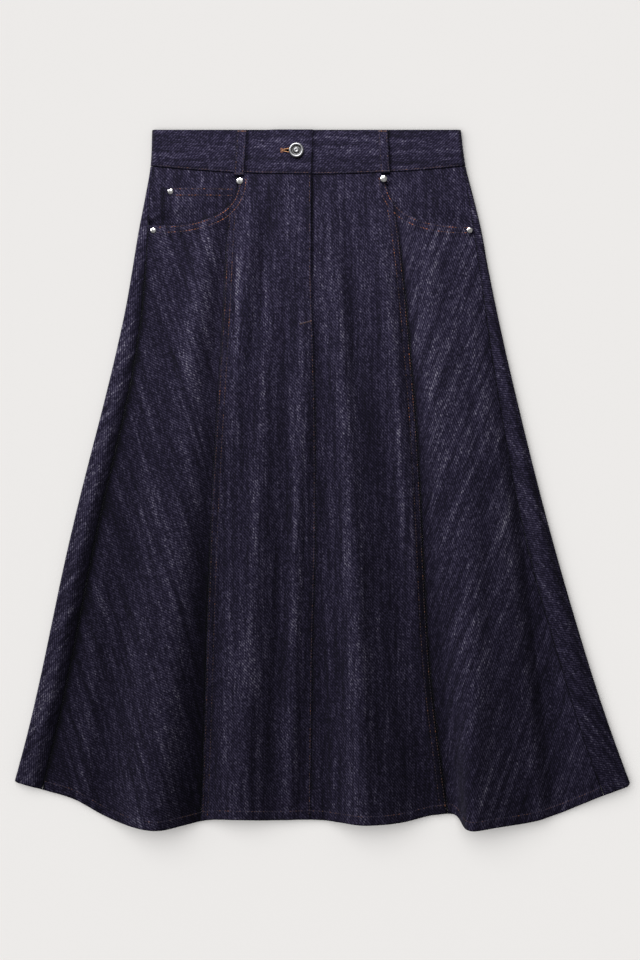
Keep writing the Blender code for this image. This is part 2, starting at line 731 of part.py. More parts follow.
def make_panels(denim):
    fold_line = 1 - HEM_DEPTH - HEM_STEP
    turn_up = [1 - HEM_DEPTH, 1]
    rows = list(np.linspace(0, fold_line, ROWS)) + turn_up
    past_mouth = list(np.linspace(0, MOUTH_SHARE, MOUTH_ROWS))
    past_mouth += list(np.linspace(MOUTH_SHARE, fold_line, ROWS)[1:]) + turn_up
    outer_corner = [0, 0.03, 0.07, 0.12, 0.2, 0.32, 0.45, 0.58, 0.7, 0.8, 0.9, 1]
    flute = [0, 0.05, 0.08, 0.11, 0.14, 0.17, 0.2, 0.25, 0.32, 0.41, 0.5, 0.6, 0.7, 0.8, 0.9, 1]
    columns = {
        "front_side_left": np.linspace(0, 1, 12),
        "front_centre_left": outer_corner,
        "front_centre_right": [1 - share for share in reversed(outer_corner)],
        "front_side_right": flute,
    }
    for side in ("left", "right"):
        for part, surface in (("side", front_side(side)), ("centre", front_centre(side))):
            name = f"front_{part}_{side}"
            down = past_mouth if part == "centre" else rows
            wall(name, denim(name), surface, columns[name], down, half_cloth)
    first, second = BACK_SHARES
    round_edge = list(np.linspace(0, first, 5)) + list(np.linspace(first, second, 8)[1:])
    round_edge += list(np.linspace(second, 1, 3)[1:])
    for side in ("left", "right"):
        name = f"back_side_{side}"
        wall(name, denim(name), back_side(side), round_edge, rows, half_cloth)
    wall("back_centre", denim("back_centre"), back_centre, np.linspace(0, 1, 5), rows, half_cloth)


def make_waistband(denim):
    rows = np.linspace(0, 1, 4)
    half = constant(BAND / 2)
    left_columns = [0, 0.03, 0.1, 0.25, 0.4, 0.55, 0.65, 0.7, 0.75, 0.8, 0.9, 1]
    name = "waistband_front_left"
    left = wall(name, denim(name), band_front("left"), left_columns, rows, half)
    hole = left.modifiers.new("buttonhole", "BOOLEAN")
    hole.object = keyhole_cutter()
    hole.solver = "EXACT"
    right_columns = [0, 0.12, 0.25, 0.4, 0.55, 0.7, 0.85, 0.95, 0.98, 1]
    name = "waistband_front_right"
    wall(name, denim(name), band_front("right"), right_columns, rows, half)
    first, second = BAND_SHARES
    half_way = list(np.linspace(0, first, 3)) + list(np.linspace(first, second, 7)[1:])
    half_way += list(np.linspace(second, 1, 3)[1:])
    half_way = [share / 2 for share in half_way]
    columns = half_way + [1 - share for share in reversed(half_way[:-1])]
    wall("waistband_back", denim("waistband_back"), band_back, columns, rows, half)


def make_pockets_and_loops(denim):
    for side in ("left", "right"):
        name = f"pocket_facing_{side}"
        down = np.linspace(0, 1, 12)
        wall(name, denim(name), facing(side), np.linspace(0, 1, 10), down, constant(FACING / 2))
        name = f"belt_loop_{side}"
        wall(name, denim(name), belt_loop(side), (0, 1), np.linspace(0, 1, 9), constant(LOOP / 2))
    name = "coin_pocket"
    wall(name, denim(name), coin_pocket, np.linspace(0, 1, 8), np.linspace(0, 1, 6), constant(COIN / 2))


def main():
    for thing in list(bpy.data.objects):
        bpy.data.objects.remove(thing, do_unlink=True)
    metal = material("brushed_steel", (0.62, 0.61, 0.6), 0.28, 1.0)

    def denim(name):
        return material(f"denim_{name}", DENIM, 0.85, 0.0)

    make_panels(denim)
    make_waistband(denim)
    make_pockets_and_loops(denim)
    make_button(metal)
    for rivet in RIVETS:
        make_rivet(rivet, metal)


main()
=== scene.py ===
"""The looks of a flared denim skirt laid flat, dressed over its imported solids.

Sizes are in millimetres until a mesh is made. X runs across the skirt, Y up to the waist and Z up from the
surface that it lies on. A "drop" is a distance down from the waist's top edge.
"""

import math
from collections import namedtuple

import bpy
import numpy as np
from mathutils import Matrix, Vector


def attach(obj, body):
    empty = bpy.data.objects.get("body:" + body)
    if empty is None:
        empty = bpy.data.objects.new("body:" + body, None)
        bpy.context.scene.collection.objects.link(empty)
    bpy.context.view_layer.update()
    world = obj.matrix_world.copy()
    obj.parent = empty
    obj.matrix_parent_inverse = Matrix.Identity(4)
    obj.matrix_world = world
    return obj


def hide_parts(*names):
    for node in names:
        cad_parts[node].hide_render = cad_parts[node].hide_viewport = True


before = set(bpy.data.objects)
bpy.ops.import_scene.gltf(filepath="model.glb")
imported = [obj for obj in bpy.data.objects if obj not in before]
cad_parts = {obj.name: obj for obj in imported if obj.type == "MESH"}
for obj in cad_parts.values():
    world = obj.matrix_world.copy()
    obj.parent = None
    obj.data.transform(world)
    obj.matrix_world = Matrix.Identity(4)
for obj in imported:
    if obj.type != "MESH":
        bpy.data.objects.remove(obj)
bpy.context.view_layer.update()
MM = 0.001
SIGNS = {"left": 1, "right": -1}

# ---------------------------------------------------------------- the skirt's sizes
LENGTH = 767.0
CLOTH = 1.2
HEM = 2.4
HEM_TURN = 11.0
HEM_FADE = 1.6
SEAM_GAP = 0.3
HALF_GAP = SEAM_GAP / 2
LAYER_GAP = 0.3
LAYER_EASE = 0.35

# Waistband and fly
BAND = 2.4
BAND_SIDE = 40.0
BAND_CENTRE = 49.0
BAND_MIDDLE_X = -16.0
BAND_HALF_WIDTH = 172.0
BAND_PROUD = 0.4
LAP_RAMP = 14.0
BAND_UNDERLAP = 38.0
UNDERLAP_END = 36.0
BAND_LAP_LIFT = 2.9
FLY_UNDERLAP = 18.0
FLY_ROOM = 2.0
FLY_END = 208.0
FLY_FADE = 40.0
FLY_LIFT_FOOT = 275.0
BAND_LIFT_FOOT = 92.0
FLY_LIFT_TOP = 3.0
FLY_LIFT_END = 1.7

# Pockets: each mouth is a quarter of a superellipse about a corner at the side of the waist
Scoop = namedtuple("Scoop", "corner_x corner_drop width depth")
SCOOPS = {
    "left": Scoop(-182.0, 49.5, 91.0, 55.5),
    "right": Scoop(161.5, 48.5, -91.0, 57.0),
}
SCOOP_POWER = 2.5
FACING = 1.0
FACING_TUCK = 12.0
FACING_BOTTOM = 119.0
FACING_DEPTH = {"left": 3.2, "right": 1.8}
FACING_SEAM_REACH = 16.0
# The shares of the way to the mouth at which a facing starts and stops sinking, in the open and by the seam
FACING_SINK = ((0.3, 0.7), (0.85, 0.95))
COIN_GAP = 0.6
COIN_LEFT = -172.0
COIN_RIGHT = -92.5
COIN_TOP = 63.5
COIN_BOTTOM = 110.0
COIN = 1.0

# Belt loops
LOOP_WIDTH = 11.0
LOOP = 1.6
LOOP_ARCH = 1.3
Loop = namedtuple("Loop", "top_x bottom_x top_drop bottom_drop")
LOOPS = {
    "left": Loop(-88.0, -91.2, 0.4, 50.2),
    "right": Loop(66.5, 69.2, 0.4, 47.5),
}

# Metal: the button's profile is in radii and heights above its seat, and the rivets' in shares of their
# radius and heights
BUTTON_X = -28.2
BUTTON_DROP = 22.9
SHANK_RADIUS = 2.6
Arc = namedtuple("Arc", "radius height reach start end count")
BUTTON_BASE = ((SHANK_RADIUS, 0.2), (6.2, 0.2))
BUTTON_RING = Arc(6.75, 1.45, 1.5, -70, 190, 18)
BUTTON_WELL = ((5.1, 1.0), (4.9, 0.8), (4.0, 0.75), (3.3, 0.85), (3.1, 1.2))
BUTTON_STUD = Arc(1.75, 1.55, 1.25, 10, 120, 9)
BUTTON_DIMPLE = ((0.8, 2.35), (0.35, 2.15), (0, 2.1))
BUTTON_SIDES = 64
HOLE_RADIUS = 3.4
HOLE_END_X = -43.5
SLIT = 1.0
EYE_MEET = 60.0
EYE_POINTS = 15
CUTTER_HEIGHTS = (3.0, 20.0)
RIVET_FLANGE = ((0.96, 0), (1, 0.12), (1, 0.3), (0.97, 0.42))
RIVET_DOME = 0.95
RIVET_PEAK = 0.96
RIVET_TURN = (0.15, 1.5, 9)
RIVET_SIDES = 40
RIVET_LIFT = 0.05
Rivet = namedtuple("Rivet", "name x drop radius rests_on")
RIVETS = [Rivet(*row) for row in (
    ("rivet_left_top", -90.2, 56.0, 3.8, "front"),
    ("rivet_left_side", -185.2, 110.5, 3.1, "front"),
    ("rivet_coin_pocket", -166.3, 68.0, 3.1, "coin"),
    ("rivet_right_top", 67.6, 54.0, 3.8, "front"),
    ("rivet_right_side", 161.8, 110.5, 3.1, "front"),
)]

# Where the folded edges, the seams and the valley beside the right edge run, a row for each section
Section = namedtuple(
    "Section",
    "drop left_fold left_seam left_princess centre right_princess right_valley right_seam right_fold",
)
SECTIONS = [Section(*row) for row in (
    (0, -186.5, -184.3, -92.0, -9.5, 66.0, 150.3, 150.3, 152.5),
    (40, -188.4, -186.0, -96.8, -11.3, 71.0, 155.4, 155.4, 157.8),
    (75, -194.4, -189.2, -101.3, -11.8, 77.6, 161.3, 161.3, 166.6),
    (110, -201.2, -191.2, -104.2, -11.8, 83.6, 166.8, 166.8, 175.0),
    (150, -207.8, -193.8, -106.3, -11.6, 88.6, 172.8, 172.8, 182.2),
    (190, -214.6, -197.0, -108.2, -10.7, 92.7, 178.8, 178.8, 190.2),
    (240, -225.2, -203.6, -111.2, -9.2, 97.2, 185.8, 185.8, 201.0),
    (300, -239.6, -214.8, -114.8, -7.5, 102.2, 195.4, 195.4, 215.0),
    (360, -255.0, -228.8, -118.6, -6.8, 106.2, 205.4, 205.6, 229.6),
    (420, -270.0, -242.8, -121.6, -6.8, 109.4, 217.0, 217.4, 245.0),
    (480, -283.8, -255.4, -124.0, -7.6, 112.2, 229.0, 231.6, 261.4),
    (540, -296.4, -267.0, -126.0, -9.2, 115.2, 240.0, 248.2, 278.8),
    (600, -309.0, -279.0, -127.8, -10.4, 119.6, 247.0, 266.0, 297.2),
    (660, -322.8, -291.8, -129.6, -11.1, 126.4, 252.0, 284.4, 317.2),
    (715, -337.4, -305.0, -131.4, -11.7, 133.6, 256.0, 303.4, 337.4),
    (767, -352.0, -317.6, -133.5, -12.2, 140.2, 258.0, 322.4, 357.2),
)]

# How high the front's middle surface lies: in the flat, at the folded edges, and on the roll beside them.
# A roll is as wide as the strip beyond the side seam, but never narrower than ROLL_MIN_WIDTH. The right one
# crests nearer to its folded edge.
ROLL_MIN_WIDTH = 12.0
RIGHT_ROLL_POWER = 0.6
Loft = namedtuple("Loft", "drop lay edge roll")
LOFTS = [Loft(*row) for row in (
    (0, 5.4, 5.8, 0.0),
    (70, 5.4, 5.9, 0.0),
    (135, 5.3, 6.0, 0.3),
    (200, 3.8, 6.1, 1.4),
    (300, 3.0, 6.4, 3.2),
    (420, 2.9, 7.0, 4.8),
    (540, 2.9, 7.4, 4.8),
    (660, 3.4, 7.4, 3.8),
    (767, 4.6, 7.4, 2.6),
)]

# The front hem's outline: it dips at each flute and steps where the right flute stands over its foot
HemPoint = namedtuple("HemPoint", "x drop")
FRONT_HEM = [HemPoint(*row) for row in (
    (-340, 715.0),
    (-305, 725.0),
    (-270, 736.0),
    (-238, 753.5),
    (-212, 762.5),
    (-180, 766.8),
    (-150, 762.5),
    (-123, 757.5),
    (-95, 756.3),
    (-60, 757.5),
    (-8, 757.6),
    (50, 761.2),
    (90, 759.0),
    (125, 752.2),
    (146, 752.0),
    (166, 764.0),
    (182, 767.0),
    (207, 763.8),
    (256, 752.2),
    (305, 732.0),
    (340, 719.3),
)]
BACK_HEM_SIDE = 714.5
BACK_HEM_CENTRE = 749.0
BACK_PRINCESS = {"left": (-96.0, -132.0), "right": (74.0, 138.0)}

# The largest folds of the front, which open out from their start to the hem. The crest is given where the
# fold starts, at the middle drop and at the hem; the widths reach from the crest to the fold's feet.
MIDDLE_DROP = 420.0
FOLD_EASE = 110.0
FOLD_START_WIDTH = 0.7
Fold = namedtuple(
    "Fold",
    "name start crest_start crest_middle crest_hem left_middle left_hem right_middle right_hem "
    "height_middle height_hem lean",
)
FOLDS = [Fold(*row) for row in (
    ("side_left", 90, -124, -154, -184, 60, 60, 36, 54, 11.0, 25.0, 0.0),
    ("centre_left", 130, -64, -73, -92, 44, 42, 50, 70, 6.0, 13.5, 0.0),
    ("centre_right", 100, 10, 31, 46, 30, 44, 50, 84, 7.0, 23.0, 0.0),
    ("side_right", 110, 128, 166, 188, 56, 44, 44, 50, 10.0, 27.0, 0.75),
    ("right_ridge", 130, 160, 202, 236, 28, 34, 18, 24, 6.0, 7.5, 0.0),
)]


# ---------------------------------------------------------------- finer form than the solids'
# Soft creases: each runs through three points, fades at both ends, and is a trough where its height is
# negative. One that ends past the hem runs out over it.
Crease = namedtuple("Crease", "x_start drop_start x_middle drop_middle x_end drop_end width height")
CREASES = [Crease(*row) for row in (
    (-116, 40, -133, 165, -150, 330, 12.0, 4.4),
    (-96, 50, -108, 165, -122, 300, 9.0, -3.2),
    (-114, 300, -122, 484, -134, 800, 11.0, -2.5),
    (-72, 40, -85, 165, -100, 400, 10.0, 4.4),
    (-56, 50, -64, 165, -80, 290, 8.0, -2.4),
    (-61, 200, -68, 352, -92, 860, 10.0, 2.0),
    (-16, 140, -26, 420, -36, 860, 9.0, 4.8),
    (-45, 330, -50, 550, -62, 860, 10.0, -1.8),
    (3, 40, 18, 200, 48, 860, 9.0, 3.8),
    (22, 50, 32, 165, 42, 330, 9.0, -2.4),
    (6, 450, 10, 604, 18, 860, 7.0, 2.0),
    (50, 30, 74, 200, 102, 620, 11.0, 4.4),
    (84, 60, 106, 370, 146, 820, 9.0, -3.8),
    (-231, 400, -247, 571, -264, 860, 10.0, 1.5),
    (-218, 380, -240, 590, -258, 860, 8.0, -1.0),
    (-187, 200, -190, 420, -204, 640, 14.0, 2.0),
    (150, 130, 170, 260, 184, 420, 8.0, 0.9),
    (170, 380, 184, 560, 200, 860, 12.0, -2.0),
    (206, 300, 232, 484, 256, 700, 9.0, -2.4),
    (264, 500, 282, 640, 300, 860, 9.0, 0.9),
    (116, 60, 118, 165, 130, 400, 12.0, 2.0),
)]

CREASE_FADE = 0.3
CREASE_START = 45.0

# A slight unevenness all over: waves with these lengths across and along the skirt
Ripple = namedtuple("Ripple", "across along phase height")
RIPPLES = [Ripple(*row) for row in (
    (97, 390, 4.0, 0.22),
    (61, -310, 0.3, 0.20),
    (43, 240, 2.1, 0.14),
    (31, -170, 5.2, 0.09),
    (19, 120, 1.1, 0.05),
)]
RIPPLE_BEAT = 1.7
RIPPLE_START = 40.0
RIPPLE_FULL = 260.0

# A topstitched seam: the fold under the two rows stands proud, and each row lies in a groove
WELT_WIDTH = 9.6
WELT_RISE = 0.7
WELT_EDGE = 1.2
WELT_FADE = 2.6
GROOVE = 0.35
GROOVE_WIDTH = 0.8
ROW_NEAR = 1.9
ROW_FAR = 7.7
PUCKER = 0.4
FLUTTERS = ((0.5, 2.1, 0), (0.3, 3.7, 1), (0.2, 6.1, 2))
PUCKER_SHIFTS = {"right": 40, "centre": 90}
FLY_PRESSED = 0.6
MOUTH_PUCKER = 1.3
HEM_ROW = 10.0
ROW_END = 2.5
ROW_CLEAR = 1.5
ROPE = 0.22
ROPE_PITCH = 8.5
ROPE_SLANT = 0.8

# A back side gore and half of the waistband's back take up two shares of their columns: the first up to the
# folded edge, the second up to the back
BACK_SHARES = (0.3, 0.7)
BAND_SHARES = (0.15, 0.62)
FRONT_SHARE_LEAST = 0.6
SEARCH_DROP = 60.0
SEARCH_STEPS = 6
LEAST_SHARE = 1e-9
LEAST_SLOPE = 1e-6
FAR = 1e3

# Painted shade in the crevices, where shade falls: beside the fly's edge, the pockets, the seams, the belt
# loops and the buttonhole, and in the front's valleys. Ridges get painted light, rims painted shade, two
# gores a lighter tone.
SLOT_PLACE = 0.9
SLOT_WIDTH = 1.9
SLOT_DEPTH = 1.8
SLOT_START = 8.0
SLOT_FADE = 90.0
SLOT_END = 215.0
MOUTH_SHADE = 1.8
COIN_SHADE = 2.4
SEAM_SHADE = 1.5
SEAM_DARK = {"left": 1.0, "right": 1.5}
SIDE_SHADE = (3.6, 2.4)
SIDE_DARK = 1.7
SIDE_SHADE_START = 90.0
LOOP_SHADE = 1.3
HoleShade = namedtuple("HoleShade", "x width height")
HOLE_SHADE = HoleShade(-37.0, 6.0, 3.5)
CREVICE_DARK = 3.0
FRONT_LEVEL = 1.2
HOLLOW_REACH = 13.0
HOLLOW_DIP = 2.4
HOLLOW_SHARE = 0.18
FACING_START = 14.0
RIM_PAINTED_SHADE = -1.5
VALLEY_SHADE = 9.0
VALLEY_SHARE = {"left": 0.6, "right": 0.85}
VALLEY_START = {"left": 430, "right": 90}
STRIP_LIGHTENING = 0.25
RIGHT_LIGHTENING = 0.14
LAP_SHADE = 1.1

# The waistband, the coin pocket and the belt loops
SIDE_GAP = 0.03
BAND_ROW = 1.8
BAND_WAVE = 0.12
BAND_WAVE_LENGTH = 4.1
SHALLOW = 0.2
COIN_HEM = 0.5
COIN_TURN = 8.6
COIN_ROWS = (1.6, 8.4)
Dent = namedtuple("Dent", "x drop width length depth")
COIN_DENT = Dent(-124.0, 90.0, 9.0, 8.0, 0.9)
LOOP_ROWS = (1.7, 9.3)
LOOP_CROWN = 0.25

# How far from a rim a wall starts to round off, the least share of its thickness there, and the grids' steps:
# distances from a plain rim and from a sewn one, and then even steps
RIM = 0.8
RIM_SHARE = 0.12
RIM_STEPS = (0.0, 0.12, 0.35, 0.8, 1.5)
SEWN_STEPS = (*RIM_STEPS, 2.3, 3.1, 4.0, 5.0, 6.0, 6.9, 7.7, 8.5, 9.4, 10.4, 11.5, 12.6)
NO_STEPS = (0.0,)
ACROSS_STEP = 2.2
DOWN_STEP = 2.6
ROUND_STEP = 0.7
BACK_STEP = 8.0
BAND_STEP = 1.1
BAND_BACK_STEP = 1.6
FACING_STEP = 1.4
LOOP_STEPS = (1.3, 0.6)
COIN_STEPS = (0.9, 1.6)
SURVEY = 60
EDGE_REACH = 0.9
ALL_RIMS = ("left", "right", "top", "bottom")

# What each piece of cloth was cut to, in metres, how far its warp leans, in degrees, where in the weave's
# pattern it lies, and what it rests on
Cut = namedtuple("Cut", "width length area lean shift rests_on")
CUTS = {
    "front_centre_left": Cut(0.126, 0.712, 0.079, 0, 0, "back_centre"),
    "front_centre_right": Cut(0.160, 0.714, 0.088, 0, 310, "back_centre"),
    "front_side_left": Cut(0.205, 0.684, 0.084, 19, 720, "back_side_left"),
    "front_side_right": Cut(0.212, 0.688, 0.083, -22, 1130, "back_side_right"),
    "back_side_left": Cut(0.262, 0.704, 0.121, -46, 1570, "ground"),
    "back_side_right": Cut(0.250, 0.703, 0.112, 38, 1990, "ground"),
    "back_centre": Cut(0.270, 0.702, 0.155, 0, 2410, "ground"),
    "waistband_front_left": Cut(0.177, 0.049, 0.0085, 90, 2830, "waistband_back"),
    "waistband_front_right": Cut(0.203, 0.049, 0.0098, 90, 3240, "waistband_back"),
    "waistband_back": Cut(0.350, 0.049, 0.0166, 90, 3660, "ground"),
    "belt_loop_left": Cut(0.011, 0.050, 0.00055, 0, 4070, "waistband_front_left"),
    "belt_loop_right": Cut(0.011, 0.050, 0.00055, 0, 4210, "waistband_front_right"),
    "pocket_facing_left": Cut(0.113, 0.079, 0.0084, 0, 4390, "back_side_left"),
    "pocket_facing_right": Cut(0.110, 0.079, 0.0079, 0, 4620, "back_side_right"),
    "coin_pocket": Cut(0.080, 0.047, 0.0037, 0, 4850, "pocket_facing_left"),
}

# Thread
STITCH = 2.6
STITCH_PITCH = 3.3
STITCH_RADIUS = 0.3
STITCH_RINGS = (0.0, 0.2, 0.5, 0.8, 1.0)
STITCH_LIFT = (-1.0, 0.35, 0.75, 0.35, -1.0)
STITCH_BULGE = (0.6, 0.95, 1.0, 0.95, 0.6)
STITCH_SIDES = 5
STITCH_SPREAD = 0.1
TACK_PITCH = 0.42
TACK_RADIUS = 0.24
TACK_SPREAD = 0.12
PURL = 0.6
PURL_INSIDE = 0.25
PURL_PITCH = 0.5
PURL_RADIUS = 0.24

# How light each seam's thread is, from dark indigo at 0 through rust to beige at 1: its least value, what the
# lighter stretches add, and how far apart they are
Tone = namedtuple("Tone", "least swing pitch")
PRINCESS_TONE = Tone(0.04, 0.2, 61)
CENTRE_TONE = Tone(0.02, 0.08, 47)
MOUTH_TONE = Tone(0.05, 0.3, 23)
HEM_TONE = Tone(0.0, 0.15, 37)
BAND_TONE = Tone(0.03, 0.09, 31)
COIN_TONE = Tone(0.08, 0.2, 19)
RUST_END = 320.0
LOW_TONE = 0.07
LOOP_TONES = (0.17, 0.02)
HOLE_TONES = (0.66, 0.3)
TONE_SPREAD = 0.09
HOLE_SPREAD = 0.05
FLECK_SLANT = 0.7
FLECK_BEAT = 0.37

# Where rows and bar tacks run. A mouth's row is given by its first and last share of a quarter turn and its
# number of points, and the hem's, band's and coin pocket's rows by the x at their ends.
MOUTH_TURNS = (0.02, 1, 260)
HEM_ENDS = (-326.0, 327.0)
BAND_ENDS = ((True, -182.0, -13.6), (False, -11.2, 153.5))
COIN_ENDS = (COIN_LEFT + 5, COIN_RIGHT - 3)
LOOP_TACKS = (1.6, 2.0)
LOOP_TACK_WIDTH = 1.6
HOLE_TACK_INSET = 0.8
HOLE_TACK_REACH = 2.2
HOLE_TACK_WIDTH = 3.0
FLY_TACK = ((-24.6, 213.6), (-11.4, 210.0))
FLY_TACK_WIDTH = 2.2
FLY_TACK_TONE = 0.07

RANDOM = np.random.default_rng(7)

# The weave: noise layers by their scale across and along the warp, per metre, and their detail. TWILL is the
# distance from rib to rib, in millimetres.
GRAIN_LAYERS = ((50, 4, 2.0), (150, 8, 2.0), (420, 24, 1.0))
GRAIN_WEIGHTS = (0.18, 0.44, 0.14)
SPECKS = (900, 330)
SPECK_TURN = 4
SPECK_POWER = 1.5
SPECK_WEIGHT = 0.27
GRAIN_ROUGHNESS = 0.55
TWILL = 2.4
TWILL_WOBBLE = 5.0
RIB_WEIGHT = 0.125
PAINTED_SHADING_WEIGHT = 0.1
BUMP = 0.12
BUMP_STRENGTH = 0.5
BUMP_WEIGHTS = (0.5, 0.3)
DENIM_ROUGHNESS = (0.76, 0.2)
DENIM_SHINE = 0.05
DENIM_MATT = 0.9
SHEEN_ROUGHNESS = 0.5
DENIM_STOPS = (
    (0.1, (0.0004, 0.0003, 0.0014)),
    (0.35, (0.0019, 0.0014, 0.0048)),
    (0.54, (0.0056, 0.0043, 0.0119)),
    (0.76, (0.022, 0.0192, 0.0352)),
    (1.0, (0.12, 0.115, 0.14)),
)
WRONG_SIDE_STOPS = (
    (0.12, (0.022, 0.023, 0.03)),
    (0.38, (0.04, 0.042, 0.05)),
    (0.56, (0.063, 0.066, 0.076)),
    (0.76, (0.095, 0.1, 0.11)),
    (0.95, (0.14, 0.145, 0.15)),
)

# The denim's two sides, with their sheen. What is doubled shows its right side inside as well.
DENIMS = (
    ("denim", "denim", DENIM_STOPS, 0.02),
    ("wrong_side", "denim_wrong_side", WRONG_SIDE_STOPS, 0.12),
)
DOUBLED = ("waistband", "belt_loop")

# The thread's and the metal's mottling, by a noise's scale and detail and its weight, and their bumps, by a
# distance in millimetres and a strength
Mottle = namedtuple("Mottle", "scale detail weight")
Bump = namedtuple("Bump", "distance strength")
THREAD_COLOUR = (0.36, 0.13, 0.05)
THREAD_ROUGHNESS = 0.7
THREAD_SHINE = 0.15
THREAD_FUZZ = Mottle(1800.0, 2.0, 0.24)
THREAD_STRANDS = {"Scale": 900.0, "Distortion": 1.5}
THREAD_BUMP = Bump(0.05, 0.5)
TARNISH = Mottle(420.0, 4.0, 0.22)
TARNISH_DARK = 0.72
TARNISH_PLACES = (0.35, 0.6)
GRIT = (2600.0, 2.0)
GRIT_BUMP = Bump(0.03, 0.3)
METALS = (
    ("metal", "silver", (0.66, 0.65, 0.64), 0.24),
    ("button_metal", "button_silver", (0.17, 0.17, 0.175), 0.42),
    ("dark_metal", "silver_in_shade", (0.07, 0.07, 0.07), 0.55),
)
THREAD_STOPS = (
    (0.0, (0.012, 0.011, 0.02)),
    (0.25, (0.06, 0.03, 0.02)),
    (0.5, (0.22, 0.07, 0.03)),
    (0.72, (0.36, 0.2, 0.1)),
    (1.0, (0.62, 0.52, 0.38)),
)

# Light and camera
FLOOR = (0.818, 0.802, 0.787)
FLOOR_ROUGHNESS = 0.95
FIBRE = (3.0, 3.0)
FIBRE_PLACES = (0.3, 0.7)
FIBRE_DARK = 0.995
FLOOR_Z = -0.5
FLOOR_REACH = 24000.0
SUN = 4.9
SUN_ANGLE = 20
OVERHEAD = 2.6
OVERHEAD_ANGLE = 90
OVERHEAD_DIRECTION = (0.4, -0.22, -0.89)
SUN_DIRECTION = (0.765, -0.441, -0.469)
LAMP = 14.2
LAMP_SIZE = 0.35
LAMP_PLACE = (-0.1, 0.75, 0.45)
LAMP_AIM = (0.0, 0.1, 0.0)
ROOM = (1.0, 1.0, 1.0)
ROOM_STRENGTH = 0.3
CAMERA = (-0.0022, -0.00095, 2.933)
LENS = 100
SENSOR = 36
CLIP = (0.05, 100)

MATERIALS = {}


def smooth(rows, column, at):
    """A table's column at the given places, on a smooth curve through its rows."""
    places = np.array([row[0] for row in rows], float)
    values = np.array([getattr(row, column) for row in rows], float)
    slopes = np.gradient(values, places)
    i = np.clip(np.searchsorted(places, at) - 1, 0, len(places) - 2)
    step = places[i + 1] - places[i]
    t = np.clip((at - places[i]) / step, 0, 1)
    start = (1 + 2 * t) * (1 - t) ** 2 * values[i] + t * (1 - t) ** 2 * step * slopes[i]
    end = t**2 * (3 - 2 * t) * values[i + 1] - t**2 * (1 - t) * step * slopes[i + 1]
    return start + end


def ease(t):
    """Rises from 0 to 1 with no slope at either end."""
    t = np.clip(t, 0, 1)
    return t * t * (3 - 2 * t)


def bell(away, width):
    """1 at no distance, falling off smoothly over a width."""
    return np.exp(-((away / width) ** 2))


def grooves(away, rows):
    """The grooves that rows of stitches press into a piece, by the distance from its edge."""
    return sum(bell(away - row, GROOVE_WIDTH) for row in rows)


def placed(x, drop, z):
    return np.stack([x, LENGTH / 2 - drop, z], axis=-1)


def unit(vectors, axis=-1):
    return vectors / np.linalg.norm(vectors, axis=axis, keepdims=True)


def constant(value):
    """A function that gives this value everywhere."""
    return lambda places: value + 0 * places


def through(drop, start, first, middle, last):
    """A value that runs from first at start through middle at the middle drop to last at the hem."""
    a = (drop - start) / (MIDDLE_DROP - start)
    b = (drop - MIDDLE_DROP) / (LENGTH - MIDDLE_DROP)
    upper = first + (middle - first) * np.clip(a, 0, 1)
    lower = middle + (last - middle) * np.clip(b, 0, 1)
    return np.where(drop < MIDDLE_DROP, upper, lower)


def fold_rise(fold, x, drop):
    """The height of one fold at a point of the front."""
    crest = through(drop, fold.start, fold.crest_start, fold.crest_middle, fold.crest_hem)
    left_start, right_start = fold.left_middle * FOLD_START_WIDTH, fold.right_middle * FOLD_START_WIDTH
    left = through(drop, fold.start, left_start, fold.left_middle, fold.left_hem)
    right = through(drop, fold.start, right_start, fold.right_middle, fold.right_hem)
    height = through(drop, fold.start, 0, fold.height_middle, fold.height_hem)
    height = height * ease((drop - fold.start) / FOLD_EASE)
    away = np.where(x < crest, (crest - x) / left, (x - crest) / right)
    return height * (0.5 + 0.5 * np.cos(math.pi * np.clip(away, 0, 1)))


def above(z, least):
    """Heights eased up to a least height: the front never sinks into the back."""
    return least + LAYER_EASE * np.logaddexp(0, (z - least) / LAYER_EASE)


def roll_radius(drop, half, proud):
    """The radius at which the front's middle surface turns round a folded edge into the back's."""
    return (smooth(LOFTS, "edge", drop) + proud - half) / 2


def front_surface(x, drop, half, proud=0.0):
    """The middle surface of the front, and of the roll at each side, for a wall of this half thickness."""
    lay = smooth(LOFTS, "lay", drop) + proud
    edge = smooth(LOFTS, "edge", drop) + proud
    roll = smooth(LOFTS, "roll", drop)
    radius = roll_radius(drop, half, proud)
    left_fold = smooth(SECTIONS, "left_fold", drop)
    right_fold = smooth(SECTIONS, "right_fold", drop)
    in_left = x - left_fold - half
    in_right = right_fold - half - x
    left_width = np.maximum(smooth(SECTIONS, "left_seam", drop) - left_fold, ROLL_MIN_WIDTH)
    right_width = np.maximum(right_fold - smooth(SECTIONS, "right_valley", drop), ROLL_MIN_WIDTH)
    t_left = np.clip((in_left - radius) / (left_width - radius), 0, 1)
    t_right = np.clip((in_right - radius) / (right_width - radius), 0, 1)
    z = lay + (edge - lay) * (2 - ease(t_left) - ease(t_right))
    z = z + roll * (np.sin(math.pi * t_left) ** 2 + np.sin(math.pi * t_right**RIGHT_ROLL_POWER) ** 2)
    shift = np.zeros_like(z)
    inside = ease(t_left) * ease(t_right)
    for fold in FOLDS:
        rise = fold_rise(fold, x, drop) * inside
        z = z + rise
        shift = shift - fold.lean * rise * ease((drop - MIDDLE_DROP) / (LENGTH - MIDDLE_DROP))
    z = above(z + fine_rise(x, drop) * inside, 3 * half + LAYER_GAP)
    for inward in (in_left, in_right):
        arc = half + radius + np.sqrt(np.maximum(radius**2 - (radius - inward) ** 2, 0))
        z = np.where(inward < radius, arc, z)
    return placed(x + shift, drop, z)


